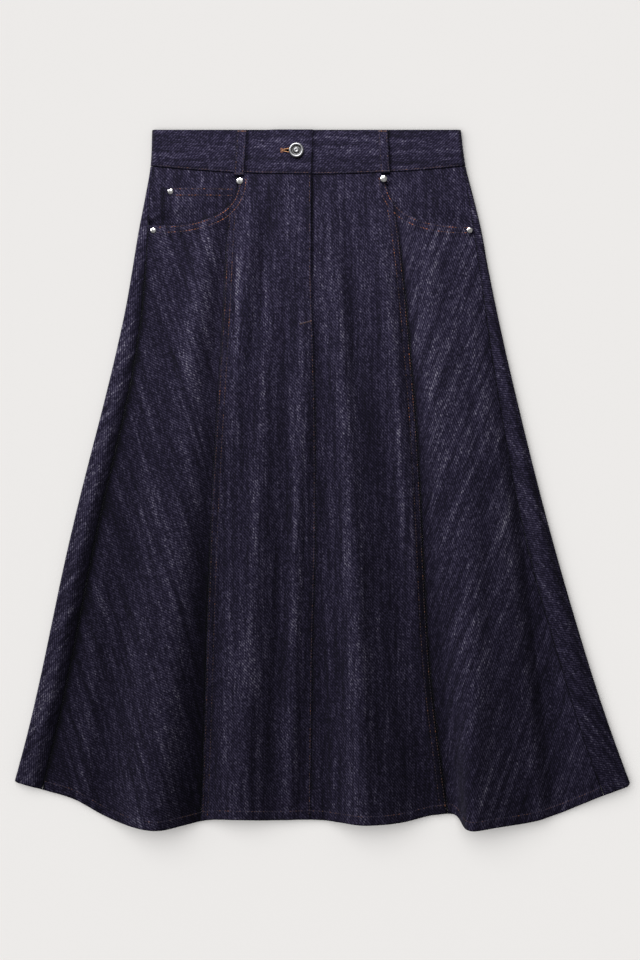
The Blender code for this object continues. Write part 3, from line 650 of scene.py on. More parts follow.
def band_seam(x):
    """The drop of the seam between the waistband and the panels, deeper towards the centre."""
    across = (x - BAND_MIDDLE_X) / BAND_HALF_WIDTH
    return BAND_SIDE + (BAND_CENTRE - BAND_SIDE) * (1 - np.clip(across**2, 0, 1))


def front_hem(x):
    return smooth(FRONT_HEM, "drop", x)


def back_hem(x):
    reach = SECTIONS[-2].right_fold
    return BACK_HEM_SIDE + (BACK_HEM_CENTRE - BACK_HEM_SIDE) * (1 - np.clip((x / reach) ** 2, 0, 1))


def scoop_drop(side, x):
    """The drop of a pocket's mouth at x."""
    scoop = SCOOPS[side]
    across = np.clip((x - scoop.corner_x) / scoop.width, 0, 1)
    return scoop.corner_drop + scoop.depth * (1 - across**SCOOP_POWER) ** (1 / SCOOP_POWER)


def scoop_x(side, drop):
    """Where a pocket's mouth is at a drop."""
    scoop = SCOOPS[side]
    down = np.clip((drop - scoop.corner_drop) / scoop.depth, 0, 1)
    return scoop.corner_x + scoop.width * (1 - down**SCOOP_POWER) ** (1 / SCOOP_POWER)


def scoop_share(side, x, drop):
    """0 at the corner of a pocket's mouth, 1 on its edge and more past it."""
    scoop = SCOOPS[side]
    across = np.maximum((x - scoop.corner_x) / scoop.width, 0)
    down = np.maximum((drop - scoop.corner_drop) / scoop.depth, 0)
    return across**SCOOP_POWER + down**SCOOP_POWER


def fly_lift(x, drop):
    """How far the left front stands up over the fly's underlap, and at the waist under the lapped band."""
    inset = smooth(SECTIONS, "centre", drop) - x
    over_fly = ease((FLY_UNDERLAP + FLY_ROOM + LAP_RAMP - inset) / LAP_RAMP)
    lift = FLY_LIFT_TOP + (FLY_LIFT_END - FLY_LIFT_TOP) * np.clip(drop / FLY_END, 0, 1)
    over_fly = over_fly * lift * ease((FLY_LIFT_FOOT - drop) / FLY_FADE)
    under_band = band_lap_lift(x, drop) * ease((BAND_LIFT_FOOT - drop) / FLY_FADE)
    return np.maximum(over_fly, under_band)


def band_lap_lift(x, drop):
    """How far the waistband's left end stands up over the underlap that carries the button."""
    inset = smooth(SECTIONS, "centre", drop) - x
    return BAND_LAP_LIFT * ease((BAND_UNDERLAP + LAP_RAMP - inset) / LAP_RAMP)


def between(a, v, left, right, top, bottom):
    """x and drop of a point a across and v down a panel, given its edges as functions."""
    def at(drop):
        return left(drop) + (right(drop) - left(drop)) * a

    high = np.full_like(a, SEARCH_DROP)
    low = np.full_like(a, LENGTH)
    for _ in range(SEARCH_STEPS):
        high = top(at(high))
        low = bottom(at(low))
    drop = high + (low - high) * v
    return at(drop), drop


def section_line(column, gap):
    return lambda drop: smooth(SECTIONS, column, drop) + gap


def fly_edge(drop):
    """The left edge of the right front: it runs under the left one as far as the fly goes."""
    under = FLY_UNDERLAP * ease((FLY_END - drop) / FLY_FADE)
    return smooth(SECTIONS, "centre", drop) + HALF_GAP - under


def wrapped(side, a, seam_x, drop, half, proud, end_x, share):
    """A section line from the side seam on the front, round the folded edge and along the back to end_x.

    It gives x, z, whether the point is still on the front, and how much of the half turn is done. Up to
    share[0] the line is on the front, and from there to share[1] it goes round the edge.
    """
    sign = SIGNS[side]
    fold = smooth(SECTIONS, side + "_fold", drop) * sign
    radius = roll_radius(drop, half, proud)
    middle = fold + half + radius
    on_front = seam_x * sign - middle
    flat = np.maximum(on_front, 0)
    turn = np.arcsin(np.clip(-on_front / radius, 0, 1))
    total = flat + radius * (math.pi - turn)
    first = np.maximum(flat, share[0] / share[1] * total * FRONT_SHARE_LEAST)
    along = np.where(
        a < share[0],
        first * a / share[0],
        first + (total - first) * (a - share[0]) / (share[1] - share[0]),
    )
    angle = np.clip(turn + (along - flat) / radius, 0, math.pi)
    x_front = middle + flat - along
    x_arc = middle - radius * np.sin(angle)
    z_arc = half + radius + radius * np.cos(angle)
    back = (a - share[1]) / (1 - share[1])
    x_back = middle + (end_x * sign - middle) * back
    on_flat = (along < flat) & (a < share[1])
    x = np.where(a > share[1], x_back, np.where(on_flat, x_front, x_arc))
    z = np.where(a > share[1], half, z_arc)
    return x * sign, z, on_flat, np.where(a > share[1], 1.0, angle / math.pi)


# ---------------------------------------------------------------- the front's surface
def crease_rise(crease, x, drop):
    """The height of one soft crease at a point of the front."""
    span = crease.drop_end - crease.drop_start
    t = (drop - crease.drop_start) / span
    knee = (crease.drop_middle - crease.drop_start) / span
    bow = (crease.x_middle - crease.x_start - (crease.x_end - crease.x_start) * knee) / (knee * (knee - 1))
    line = crease.x_start + (crease.x_end - crease.x_start) * t + bow * t * (t - 1)
    fade = ease(t / CREASE_FADE) * ease((1 - t) / CREASE_FADE)
    return crease.height * fade * bell(x - line, crease.width)


def fine_rise(x, drop):
    """All the small creases and ripples of the front."""
    rise = sum(crease_rise(crease, x, drop) for crease in CREASES)
    rise = rise * ease((drop - BAND_CENTRE) / CREASE_START)
    grown = ease((drop - RIPPLE_START) / (RIPPLE_FULL - RIPPLE_START))
    for ripple in RIPPLES:
        turn = 2 * math.pi * (x / ripple.across + drop / ripple.along) + ripple.phase
        beat = np.cos(drop / ripple.along * RIPPLE_BEAT + ripple.phase)
        rise = rise + grown * ripple.height * np.sin(turn) * beat
    return rise


def flutter(along):
    """An uneven wave along a seam, from -1 to 1."""
    return sum(height * np.sin(along / length + phase) for height, length, phase in FLUTTERS)


def mouth_distance(side, x, drop):
    """How far a point is outside a pocket's mouth."""
    def root(x, drop):
        return np.maximum(scoop_share(side, x, drop), LEAST_SHARE) ** (1 / SCOOP_POWER)

    step = 0.5
    slope_x = (root(x + step, drop) - root(x - step, drop)) / (2 * step)
    slope_drop = (root(x, drop + step) - root(x, drop - step)) / (2 * step)
    return (root(x, drop) - 1) / np.maximum(np.hypot(slope_x, slope_drop), LEAST_SLOPE)


def welt(inward, along, rows=(ROW_NEAR, ROW_FAR)):
    """How a topstitched edge stands up at a distance inward from it."""
    up = ease(inward / WELT_EDGE) * (1 - ease((inward - WELT_WIDTH) / WELT_FADE))
    return up * (WELT_RISE * (1 + PUCKER * flutter(along)) - GROOVE * grooves(inward, rows))


def relief(x, drop):
    """What the seams, the pockets' mouths and the turned-up hem add to the front's panels."""
    left = smooth(SECTIONS, "left_princess", drop)
    right = smooth(SECTIONS, "right_princess", drop)
    centre = smooth(SECTIONS, "centre", drop)
    at_fly = 1 - ease((drop - FLY_END) / WELT_WIDTH)
    rise = np.maximum(welt(x - left, drop), welt(right - x, drop + PUCKER_SHIFTS["right"]))
    middle = welt(centre - x, drop + PUCKER_SHIFTS["centre"], (ROW_NEAR,))
    rise = np.maximum(rise, middle * (1 - FLY_PRESSED * at_fly))
    for side in SCOOPS:
        rise = np.maximum(rise, welt(mouth_distance(side, x, drop), x * MOUTH_PUCKER + drop))
    above_hem = front_hem(x) - drop
    turned = ease((HEM_TURN - above_hem) / HEM_FADE)
    wave = np.sin(2 * math.pi * (x + ROPE_SLANT * above_hem) / ROPE_PITCH + 2 * flutter(x / 3))
    rope = ROPE * wave * np.sin(math.pi * np.clip(above_hem / HEM_TURN, 0, 1))
    return rise + turned * (rope - GROOVE * grooves(above_hem, (HEM_ROW,)))


def half_cloth(above_hem):
    """Half the wall's thickness at a distance above the hem, which is turned up."""
    return (CLOTH + (HEM - CLOTH) * ease((HEM_TURN - above_hem) / HEM_FADE)) / 2


def sewn(x, drop):
    """The right front's middle surface with its seams' relief, and half its thickness."""
    half = half_cloth(front_hem(x) - drop)
    point = front_surface(x, drop, half)
    point[..., 2] += relief(x, drop)
    return point, half


def sewn_lap(x, drop):
    """The same for the left front, which laps over the fly's underlap."""
    point, half = sewn(x, drop)
    point[..., 2] += fly_lift(x, drop)
    return point, half


# ---------------------------------------------------------------- the pieces' surfaces
# Each takes places a across and v down a piece, from 0 to 1, and gives points and half thicknesses.
def fly_slot(x, drop):
    """1 in the middle of the slot in the right front beside the fly's edge, down to 0 away from it. It sets
    both the slot's depth and the painted shade in it.
    """
    beside = x - smooth(SECTIONS, "centre", drop) - SLOT_PLACE
    fade = 1 - ease((drop - SLOT_FADE) / (SLOT_END - SLOT_FADE))
    return ease((drop - BAND_CENTRE) / SLOT_START) * fade * bell(beside, SLOT_WIDTH)


def mouth_shade(x, drop):
    """Painted shade: how deep a place on the left facing lies in the crevice along the pocket's mouth."""
    return np.exp(np.minimum(mouth_distance("left", x, drop), 0) / MOUTH_SHADE)


def facing_shade(x, drop):
    """The same painted shade, with more in the crevice along the coin pocket's left edge."""
    beside = bell(x - COIN_LEFT + COIN_SHADE, COIN_SHADE)
    return np.maximum(mouth_shade(x, drop), beside * (drop > COIN_TOP))


def hollow(x, drop):
    """Painted shade in the front's valleys and painted light on its ridges, by how far the front dips at a
    place, from 1 in the valleys to -1 on the ridges.
    """
    def height(x):
        return front_surface(x, drop, CLOTH / 2)[..., 2]

    dip = (height(x - HOLLOW_REACH) + height(x + HOLLOW_REACH)) / 2 - height(x)
    return HOLLOW_SHARE * np.clip(dip / HOLLOW_DIP, -1, 1)


def side_seam_shade(x, drop):
    """Painted shade in the crevice along the left side seam, where the rolled edge stands beside it."""
    beyond = x - smooth(SECTIONS, "left_seam", drop)
    near = np.exp(-np.abs(beyond) / np.where(beyond < 0, *SIDE_SHADE))
    return SIDE_DARK * near * ease((drop - SIDE_SHADE_START) / FOLD_EASE)


def strip_shade(x, drop):
    """Painted shade in the crevice along the side seam, and a lighter tone on the rolled edge beside it."""
    return side_seam_shade(x, drop) - STRIP_LIGHTENING * (x < 0)


def valley_shade(x, drop, side):
    """Painted shade in the crevice to the left of a princess seam, narrow above and as wide as the flute's
    foot below.
    """
    away = np.maximum(smooth(SECTIONS, side + "_princess", drop) - x, 0)
    wide = VALLEY_SHARE[side] * np.exp(-away / VALLEY_SHADE) * ease((drop - MIDDLE_DROP) / FOLD_EASE)
    narrow = SEAM_DARK[side] * np.exp(-away / SEAM_SHADE)
    return wide + narrow * ease((drop - VALLEY_START[side]) / FOLD_EASE)


# Painted shade and light on the left side gore: its valleys and ridges, the side seam and the princess seam's
# valley.
def side_shade_left(x, drop):
    valley = valley_shade(x, drop, "left")
    return hollow(x, drop) + np.maximum(side_seam_shade(x, drop), valley)


# Painted shade and light on the right side gore: its valleys and ridges, a dark line beside the princess
# seam, and a lighter tone on its upper part.
def side_shade_right(x, drop):
    near = np.exp(-np.maximum(x - smooth(SECTIONS, "right_princess", drop), 0) / SEAM_SHADE)
    lightened = RIGHT_LIGHTENING * (1 - ease((drop - MIDDLE_DROP) / FOLD_EASE))
    return hollow(x, drop) + near - lightened


# Painted shade and light on the right centre gore: its valleys and ridges, the slot by the fly's edge and the
# valley beside the princess seam.
def fly_shade(x, drop):
    return hollow(x, drop) + fly_slot(x, drop) + valley_shade(x, drop, "right")


def band_shade(x, drop):
    """Painted shadow on the waistband: beside the belt loops and the lap's edge, and painted shade behind the
    buttonhole.
    """
    shade = 0 * x
    for side, loop in LOOPS.items():
        beside = x - loop_middle(side, drop)[0] - LOOP_WIDTH / 2
        near = bell(beside - LOOP_SHADE / 2, LOOP_SHADE)
        shade = np.maximum(shade, near * (drop < loop.bottom_drop))
    behind = ((x - HOLE_SHADE.x) / HOLE_SHADE.width) ** 2 + ((drop - BUTTON_DROP) / HOLE_SHADE.height) ** 2
    beyond = x - smooth(SECTIONS, "centre", drop)
    lapped = beyond < -LAP_RAMP
    shade = np.maximum(shade, np.exp(-beyond.clip(0) / LAP_SHADE) * (beyond > 0))
    return np.maximum(shade, np.exp(-behind) * lapped)


def left_to_right(side, outer, inner):
    """A panel's outer and inner edges, the one with the lower x first."""
    return (outer, inner) if side == "left" else (inner, outer)


def front_side(side):
    gap = SIGNS[side] * HALF_GAP
    edges = left_to_right(side, section_line(side + "_seam", gap), section_line(side + "_princess", -gap))

    def surface(a, v):
        return sewn(*between(a, v, *edges, lambda x: scoop_drop(side, x), front_hem))

    return surface


def front_centre(side):
    lapped = side == "left"
    inmost = np.maximum if lapped else np.minimum

    def outer(drop):
        seam = inmost(smooth(SECTIONS, side + "_princess", drop), scoop_x(side, drop))
        return seam + SIGNS[side] * HALF_GAP

    edges = left_to_right(side, outer, section_line("centre", -HALF_GAP) if lapped else fly_edge)

    def surface(a, v):
        x, drop = between(a, v, *edges, lambda x: band_seam(x) + HALF_GAP, front_hem)
        if lapped:
            return sewn_lap(x, drop)
        point, half = sewn(x, drop)
        point[..., 2] = above(point[..., 2] - SLOT_DEPTH * fly_slot(x, drop), 3 * half + LAYER_GAP)
        return point, half

    return surface


def back_side(side):
    """From the side seam round the folded edge to the back's seam."""
    gap = SIGNS[side] * HALF_GAP
    top_x, hem_x = BACK_PRINCESS[side]

    def surface(a, v):
        high = np.full_like(a, SEARCH_DROP)
        low = np.full_like(a, LENGTH)
        half = np.full_like(a, CLOTH / 2)
        for _ in range(SEARCH_STEPS):
            ends = []
            for drop, front_end, back_end, end in (
                (high, band_seam, band_seam, top_x),
                (low, front_hem, back_hem, hem_x),
            ):
                seam = smooth(SECTIONS, side + "_seam", drop) - gap
                x, _, _, round_share = wrapped(side, a, seam, drop, half, 0.0, end, BACK_SHARES)
                ends.append(front_end(x) + (back_end(x) - front_end(x)) * round_share)
            high = ends[0] + HALF_GAP
            low = ends[1]
            drop = high + (low - high) * v
            half = half_cloth(low - drop)
        seam = smooth(SECTIONS, side + "_seam", drop) - gap
        end = top_x + (hem_x - top_x) * v
        x, z, on_flat, _ = wrapped(side, a, seam, drop, half, 0.0, end, BACK_SHARES)
        front = front_surface(x, drop, half)
        return np.where(on_flat[..., None], front, placed(x, drop, z)), half

    return surface


def back_centre(a, v):
    left, right = (
        BACK_PRINCESS[side][0] + (BACK_PRINCESS[side][1] - BACK_PRINCESS[side][0]) * v + gap
        for side, gap in (("left", SEAM_GAP), ("right", -SEAM_GAP))
    )
    x = left + (right - left) * a
    high = band_seam(x) + HALF_GAP
    drop = high + (back_hem(x) - high) * v
    half = half_cloth(back_hem(x) - drop)
    return placed(x, drop, half), half


def band_front_surface(x, drop, lapped):
    point = front_surface(x, drop, BAND / 2, BAND_PROUD)
    if lapped:
        point[..., 2] += band_lap_lift(x, drop)
    return point


def band_cloth(lapped):
    """The waistband's front by x and drop, with the groove of the row above its lower seam."""
    def surface_at(x, drop):
        point = band_front_surface(x, drop, lapped)
        point[..., 2] -= GROOVE * grooves(band_seam(x) - drop, (BAND_ROW,))
        wave = BAND_WAVE * flutter(x / BAND_WAVE_LENGTH)
        point[..., 2] += wave * np.sin(math.pi * np.clip(drop / BAND_SIDE, 0, 1))
        return point, np.full_like(x, BAND / 2)

    return surface_at


def band_front(side):
    lapped = side == "left"
    seam = section_line(side + "_seam", SIGNS[side] * SIDE_GAP)
    edges = left_to_right(side, seam, section_line("centre", -HALF_GAP if lapped else -UNDERLAP_END))
    surface_at = band_cloth(lapped)

    def surface(a, v):
        return surface_at(*between(a, v, *edges, constant(0.0), lambda x: band_seam(x) - HALF_GAP))

    return surface


def band_back(a, v):
    """From one side seam round both folded edges to the other."""
    half = np.full_like(a, BAND / 2)
    b = np.minimum(a, 1 - a) * 2
    high = 0 * a
    low = np.full_like(a, BAND_SIDE)
    for _ in range(SEARCH_STEPS):
        drop = high + (low - high) * v
        sides = []
        for side, sign in SIGNS.items():
            seam = smooth(SECTIONS, side + "_seam", drop) - sign * SIDE_GAP
            sides.append(wrapped(side, b, seam, drop, half, BAND_PROUD, BAND_MIDDLE_X, BAND_SHARES))
        x = np.where(a <= 0.5, sides[0][0], sides[1][0])
        z = np.where(a <= 0.5, sides[0][1], sides[1][1])
        low = band_seam(x) - HALF_GAP
    return placed(x, high + (low - high) * v, z), half


def facing_surface(side, x, drop):
    point = front_surface(x, drop, CLOTH / 2)
    by_seam = ease(1 - np.abs(x - smooth(SECTIONS, side + "_seam", drop)) / FACING_SEAM_REACH)
    start, end = (open_share + (seam_share - open_share) * by_seam for open_share, seam_share in FACING_SINK)
    sunk = ease((scoop_share(side, x, drop) - start) / (end - start))
    z = point[..., 2] - FACING_DEPTH[side] * (sunk * ease((drop - band_seam(x)) / FACING_START))
    point[..., 2] = above(z, CLOTH + LAYER_GAP + FACING / 2)
    return point


def facing(side):
    sign = SIGNS[side]
    inner = constant(SCOOPS[side].corner_x + SCOOPS[side].width + sign * FACING_TUCK)
    edges = left_to_right(side, section_line(side + "_seam", sign * HALF_GAP), inner)

    def surface(a, v):
        x, drop = between(a, v, *edges, lambda x: band_seam(x) + HALF_GAP, constant(FACING_BOTTOM))
        return facing_surface(side, x, drop), np.full_like(a, FACING / 2)

    return surface


def coin_cloth(x, drop):
    """The coin pocket by x and drop: its top edge is turned down and sewn in two rows."""
    point = facing_surface("left", x, drop)
    below = drop - COIN_TOP
    half = COIN / 2 + COIN_HEM * (1 - ease((below - COIN_TURN) / HEM_FADE)) / 2
    away = ((x - COIN_DENT.x) / COIN_DENT.width) ** 2 + ((drop - COIN_DENT.drop) / COIN_DENT.length) ** 2
    dent = COIN_DENT.depth * np.exp(-away)
    point[..., 2] += FACING / 2 + COIN_GAP + half - SHALLOW * grooves(below, COIN_ROWS) - dent
    return point, half


def coin_pocket(a, v):
    x = COIN_LEFT + (COIN_RIGHT - COIN_LEFT) * a
    return coin_cloth(x, COIN_TOP + (COIN_BOTTOM - COIN_TOP) * v)


def loop_middle(side, drop):
    """The x of a belt loop's middle line, and the share of the way down it."""
    loop = LOOPS[side]
    v = (drop - loop.top_drop) / (loop.bottom_drop - loop.top_drop)
    return loop.top_x + (loop.bottom_x - loop.top_x) * v, v


def loop_cloth(side):
    """A belt loop by x and drop: an arched strip with a row of stitches along each side."""
    def surface_at(x, drop):
        middle, v = loop_middle(side, drop)
        across = x - middle + LOOP_WIDTH / 2
        point = band_front_surface(x, np.minimum(drop, BAND_SIDE), False)
        point[..., 1] = LENGTH / 2 - drop
        point[..., 2] += (BAND + LOOP) / 2 + LAYER_GAP + LOOP_ARCH * np.sin(math.pi * np.clip(v, 0, 1)) ** 2
        crown = LOOP_CROWN * np.sin(math.pi * across / LOOP_WIDTH)
        point[..., 2] += crown - SHALLOW * grooves(across, LOOP_ROWS)
        return point, np.full_like(point[..., 2], LOOP / 2)

    return surface_at


def belt_loop(side):
    loop = LOOPS[side]
    surface_at = loop_cloth(side)

    def surface(a, v):
        drop = loop.top_drop + (loop.bottom_drop - loop.top_drop) * v
        return surface_at(loop_middle(side, drop)[0] + LOOP_WIDTH * (a - 0.5), drop)

    return surface


# ---------------------------------------------------------------- meshes
def spread(lengths, near_start, near_end, step):
    """Shares along lines of these lengths: set distances from both ends, and even steps between them."""
    start = np.array(near_start)[:, None] / lengths
    end = 1 - np.array(near_end)[::-1, None] / lengths
    count = max(int(np.max(lengths) / step), 2)
    t = np.linspace(0, 1, count + 1)[1:-1, None]
    return np.concatenate([start, start[-1] + (end[0] - start[-1]) * t, end])


def lattice(surface, sides, ends, down_step, joints=(0, 1), steps=(ACROSS_STEP,)):
    """Places a and v of a piece's grid: set distances from its rims, and even steps between them.

    The columns are laid out part by part between the joints, each part with a step of its own.
    """
    shares = np.linspace(0, 1, SURVEY)
    point = surface(*np.meshgrid(shares, shares, indexing="ij"))[0]
    heights = np.linalg.norm(np.diff(point, axis=1), axis=-1).sum(axis=1)
    down = spread(heights, *ends, down_step)
    rows = down.mean(axis=1)
    parts = []
    for low, high, step in zip(joints, joints[1:], steps):
        point = surface(*np.meshgrid(np.linspace(low, high, SURVEY), rows, indexing="ij"))[0]
        widths = np.linalg.norm(np.diff(point, axis=0), axis=-1).sum(axis=0)
        start = sides[0] if low == 0 else (0,)
        end = sides[1] if high == 1 else (0,)
        part = low + (high - low) * spread(widths, start, end, step)
        parts.append(part[1:] if parts else part)
    a = np.concatenate(parts)
    columns = a.mean(axis=1)
    return a, np.stack([np.interp(columns, shares, line) for line in down], axis=1)


def normals(surface, a, v):
    """Unit normals of a surface at the given places."""
    step = 1e-4
    along_a = surface(np.minimum(a + step, 1), v)[0] - surface(np.maximum(a - step, 0), v)[0]
    along_v = surface(a, np.minimum(v + step, 1))[0] - surface(a, np.maximum(v - step, 0))[0]
    return unit(np.cross(along_v, along_a))


def run(points, axis):
    """Lengths along a grid's lines from their first points."""
    steps = np.linalg.norm(np.diff(points, axis=axis), axis=-1)
    first = np.zeros_like(np.take(steps, [0], axis=axis))
    return np.concatenate([first, np.cumsum(steps, axis=axis)], axis=axis)


def rim_distance(across, down, rims):
    """How far each point is from the nearest of the rims that are named."""
    away = np.full_like(across, FAR)
    for rim, length in (
        ("left", across),
        ("right", across[-1:] - across),
        ("top", down),
        ("bottom", down[:, -1:] - down),
    ):
        if rim in rims:
            away = np.minimum(away, length)
    return away


def grain(middle, across, cut, outward, anchor):
    """Texture places in metres, along and across the piece's warp."""
    u = middle[anchor : anchor + 1, :, 0] + (across - across[anchor : anchor + 1]) * outward
    v = LENGTH / 2 - middle[..., 1]
    lean = math.radians(cut.lean)
    along_u = u * math.cos(lean) - v * math.sin(lean) + cut.shift
    along_v = u * math.sin(lean) + v * math.cos(lean)
    return np.stack([along_u, along_v], axis=-1) * MM


def sheet_faces(columns, rows, outward):
    """Faces of a closed sheet: a grid on each side and the rim between them. The outside comes first."""
    index = np.arange(columns * rows).reshape(columns, rows)
    quads = np.stack([index[:-1, :-1], index[:-1, 1:], index[1:, 1:], index[1:, :-1]], axis=-1).reshape(-1, 4)
    rim = np.concatenate([index[:-1, 0], index[-1, :-1], index[:0:-1, -1], index[0, :0:-1]])
    after = np.roll(rim, -1)
    other = columns * rows
    sides = np.stack([rim, after, after + other, rim + other], axis=-1)
    faces = np.concatenate([quads, sides, (quads + other)[:, ::-1]])
    wrong_side = np.zeros(len(faces), int)
    wrong_side[len(quads) + len(sides) :] = 1
    return (faces if outward > 0 else faces[:, ::-1]), wrong_side


def add_object(name, data):
    made = bpy.data.objects.new(name, data)
    bpy.context.scene.collection.objects.link(made)
    return made


def new_mesh(name, points, faces):
    """A mesh from points in millimetres."""
    mesh = bpy.data.meshes.new(name)
    mesh.from_pydata(points * MM, [], faces)
    return mesh


def add_piece(name, points, faces, materials, face_materials=None):
    """A smooth mesh object that rides on the skirt's only body."""
    mesh = new_mesh(name, points, faces)
    for made in materials:
        mesh.materials.append(made)
    if face_materials is not None:
        mesh.polygons.foreach_set("material_index", face_materials)
    mesh.polygons.foreach_set("use_smooth", np.full(len(mesh.polygons), True))
    piece = add_object(name, mesh)
    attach(piece, "root")
    return piece


def paint(piece, layer, values):
    """A value for each vertex, which the materials read by the layer's name."""
    piece.data.attributes.new(layer, "FLOAT", "POINT").data.foreach_set("value", values.ravel())


def lay_grain(piece, places):
    uv = piece.data.uv_layers.new(name="grain")
    corners = np.empty(len(piece.data.loops), int)
    piece.data.loops.foreach_get("vertex_index", corners)
    uv.data.foreach_set("uv", places.reshape(-1, 2)[corners].ravel())


def cloth(node, surface, places, rims=ALL_RIMS, outward=1, anchor=0.5, crevice=None):
    """One piece of denim on its solid's form: rounded rims, its warp's direction, and painted shade along its
    edges.

    The crevice function of x and drop darkens the front with painted shade where it is above 0, and lightens
    it where it is below.
    """
    a, v = places
    middle, half = surface(a, v)
    across, down = run(middle, 0), run(middle, 1)
    away = rim_distance(across, down, rims)
    half = half * np.maximum(np.sqrt(1 - (1 - np.minimum(away / RIM, 1)) ** 2), RIM_SHARE)
    out = normals(surface, a, v) * half[..., None] * outward
    points = np.concatenate([(middle + out).reshape(-1, 3), (middle - out).reshape(-1, 3)])
    faces, wrong_side = sheet_faces(*a.shape, outward)
    inside = MATERIALS["denim" if node.startswith(DOUBLED) else "wrong_side"]
    piece = add_piece(node + "_cloth", points, faces, (MATERIALS["denim"], inside), wrong_side)
    places = grain(middle, across, CUTS[node], outward, int(anchor * (len(a) - 1)))
    lay_grain(piece, np.stack([places, places]))
    # Painted shade darkens every rim, and the crevice function adds its painted shade and light.
    edge = RIM_PAINTED_SHADE * np.exp(-away / EDGE_REACH)
    if crevice is not None:
        on_front = middle[..., 2] > FRONT_LEVEL
        edge = edge - CREVICE_DARK * crevice(middle[..., 0], LENGTH / 2 - middle[..., 1]) * on_front
    paint(piece, "wear", np.stack([edge, edge]))
    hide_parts(node)
    return piece


# ---------------------------------------------------------------- sewing
# A batch of stitches: where each starts and ends on a surface by x and drop, and how light its thread is
Stitches = namedtuple("Stitches", "surface_at starts ends tones radius")


def tops(surface_at, x, drop):
    """Points on a surface's outside, and the normals there."""
    step = 0.3
    point, half = surface_at(x, drop)
    across = surface_at(x + step, drop)[0] - surface_at(x - step, drop)[0]
    down = surface_at(x, drop + step)[0] - surface_at(x, drop - step)[0]
    normal = unit(np.cross(down, across))
    return point + normal * half[..., None], normal


def sewn_tubes(batch):
    """The points of a batch's stitches: short arched tubes whose ends dive into the cloth."""
    t = np.array(STITCH_RINGS)
    along = batch.starts[:, None] + (batch.ends - batch.starts)[:, None] * t[:, None]
    centre, normal = tops(batch.surface_at, along[..., 0], along[..., 1])
    side = np.cross(unit(np.gradient(centre, axis=1)), normal)
    bulge = np.array(STITCH_BULGE)[None, :, None] * batch.radius
    centre = centre + normal * (np.array(STITCH_LIFT)[None, :, None] * batch.radius)
    turn = np.linspace(0, 2 * math.pi, STITCH_SIDES, endpoint=False)
    ring = np.cos(turn)[:, None] * side[:, :, None] + np.sin(turn)[:, None] * normal[:, :, None]
    return (centre[:, :, None] + ring * bulge[..., None]).reshape(-1, 3)


def tube_faces(first):
    """The faces of one stitch whose points start at this index."""
    rings = len(STITCH_RINGS)
    index = first + np.arange(rings * STITCH_SIDES).reshape(rings, STITCH_SIDES)
    after = np.roll(index, -1, axis=1)
    quads = np.stack([index[:-1], index[1:], after[1:], after[:-1]], axis=-1).reshape(-1, 4)
    return quads.tolist() + [index[0].tolist(), index[-1, ::-1].tolist()]


def add_thread(name, batches):
    """All the stitches of one seam as one piece, with the thread's tone painted on it."""
    points = np.concatenate([sewn_tubes(batch) for batch in batches])
    each = len(STITCH_RINGS) * STITCH_SIDES
    faces = [face for first in range(0, len(points), each) for face in tube_faces(first)]
    piece = add_piece(name, points, faces, (MATERIALS["thread"],))
    paint(piece, "tone", np.repeat(np.concatenate([batch.tones for batch in batches]), each))


def row(surface_at, x, drop, tone, keep=None, radius=STITCH_RADIUS):
    """A row of stitches along a line, whose tone at each place is given by a function."""
    point = surface_at(x, drop)[0]
    along = run(point, 0)
    middle = np.arange(STITCH_PITCH / 2, along[-1] - STITCH_PITCH / 2, STITCH_PITCH)
    middle = middle + RANDOM.normal(0, STITCH_SPREAD, len(middle))
    starts, ends = (
        np.stack([np.interp(at, along, x), np.interp(at, along, drop)], axis=-1)
        for at in (middle - STITCH / 2, middle + STITCH / 2)
    )
    if keep is not None:
        kept = keep(starts[:, 0], starts[:, 1])
        starts, ends = starts[kept], ends[kept]
    tones = tone(starts[:, 0], starts[:, 1]) + RANDOM.normal(0, TONE_SPREAD, len(starts))
    return Stitches(surface_at, starts, ends, np.clip(tones, 0, 1), radius)


def bar_tack(surface_at, start, end, width, tone):
    """A dense bar of short stitches across the line from start to end."""
    start, end = np.array(start, float), np.array(end, float)
    length = np.linalg.norm(end - start)
    across = np.array([start[1] - end[1], end[0] - start[0]]) / length
    shares = np.linspace(0, 1, int(length / TACK_PITCH) + 1)[:, None]
    middle = start + (end - start) * shares
    reach = across * (width / 2 + RANDOM.normal(0, TACK_SPREAD, (len(shares), 1)))
    tones = np.clip(tone + RANDOM.normal(0, TONE_SPREAD, len(shares)), 0, 1)
    return Stitches(surface_at, middle - reach, middle + reach, tones, TACK_RADIUS)


def fleck(x, drop, pitch):
    """A slow wave along a seam, from 0 to 1, by which its thread's colour comes and goes."""
    turn = 2 * math.pi * (drop + FLECK_SLANT * x) / pitch
    return 0.5 + 0.5 * np.sin(turn + np.sin((drop - x) / (pitch * FLECK_BEAT)))


def down_seam(tone):
    """The tone at x and drop of a seam that runs down the skirt."""
    return lambda x, drop: tone.least + tone.swing * fleck(x, drop, tone.pitch)


def across_seam(tone):
    return lambda x, drop: tone.least + tone.swing * fleck(drop, x, tone.pitch)


def princess_tone(x, drop):
    return np.where(drop < RUST_END, down_seam(PRINCESS_TONE)(x, drop), LOW_TONE)


def row_down(surface_at, column, inward, start, tone, keep=None):
    """A row beside a section line, from a drop down to the hem."""
    drop = np.arange(start, LENGTH - 3, 1.0)
    x = smooth(SECTIONS, column, drop) + inward
    inside = drop < front_hem(x) - ROW_END
    return row(surface_at, x[inside], drop[inside], tone, keep)


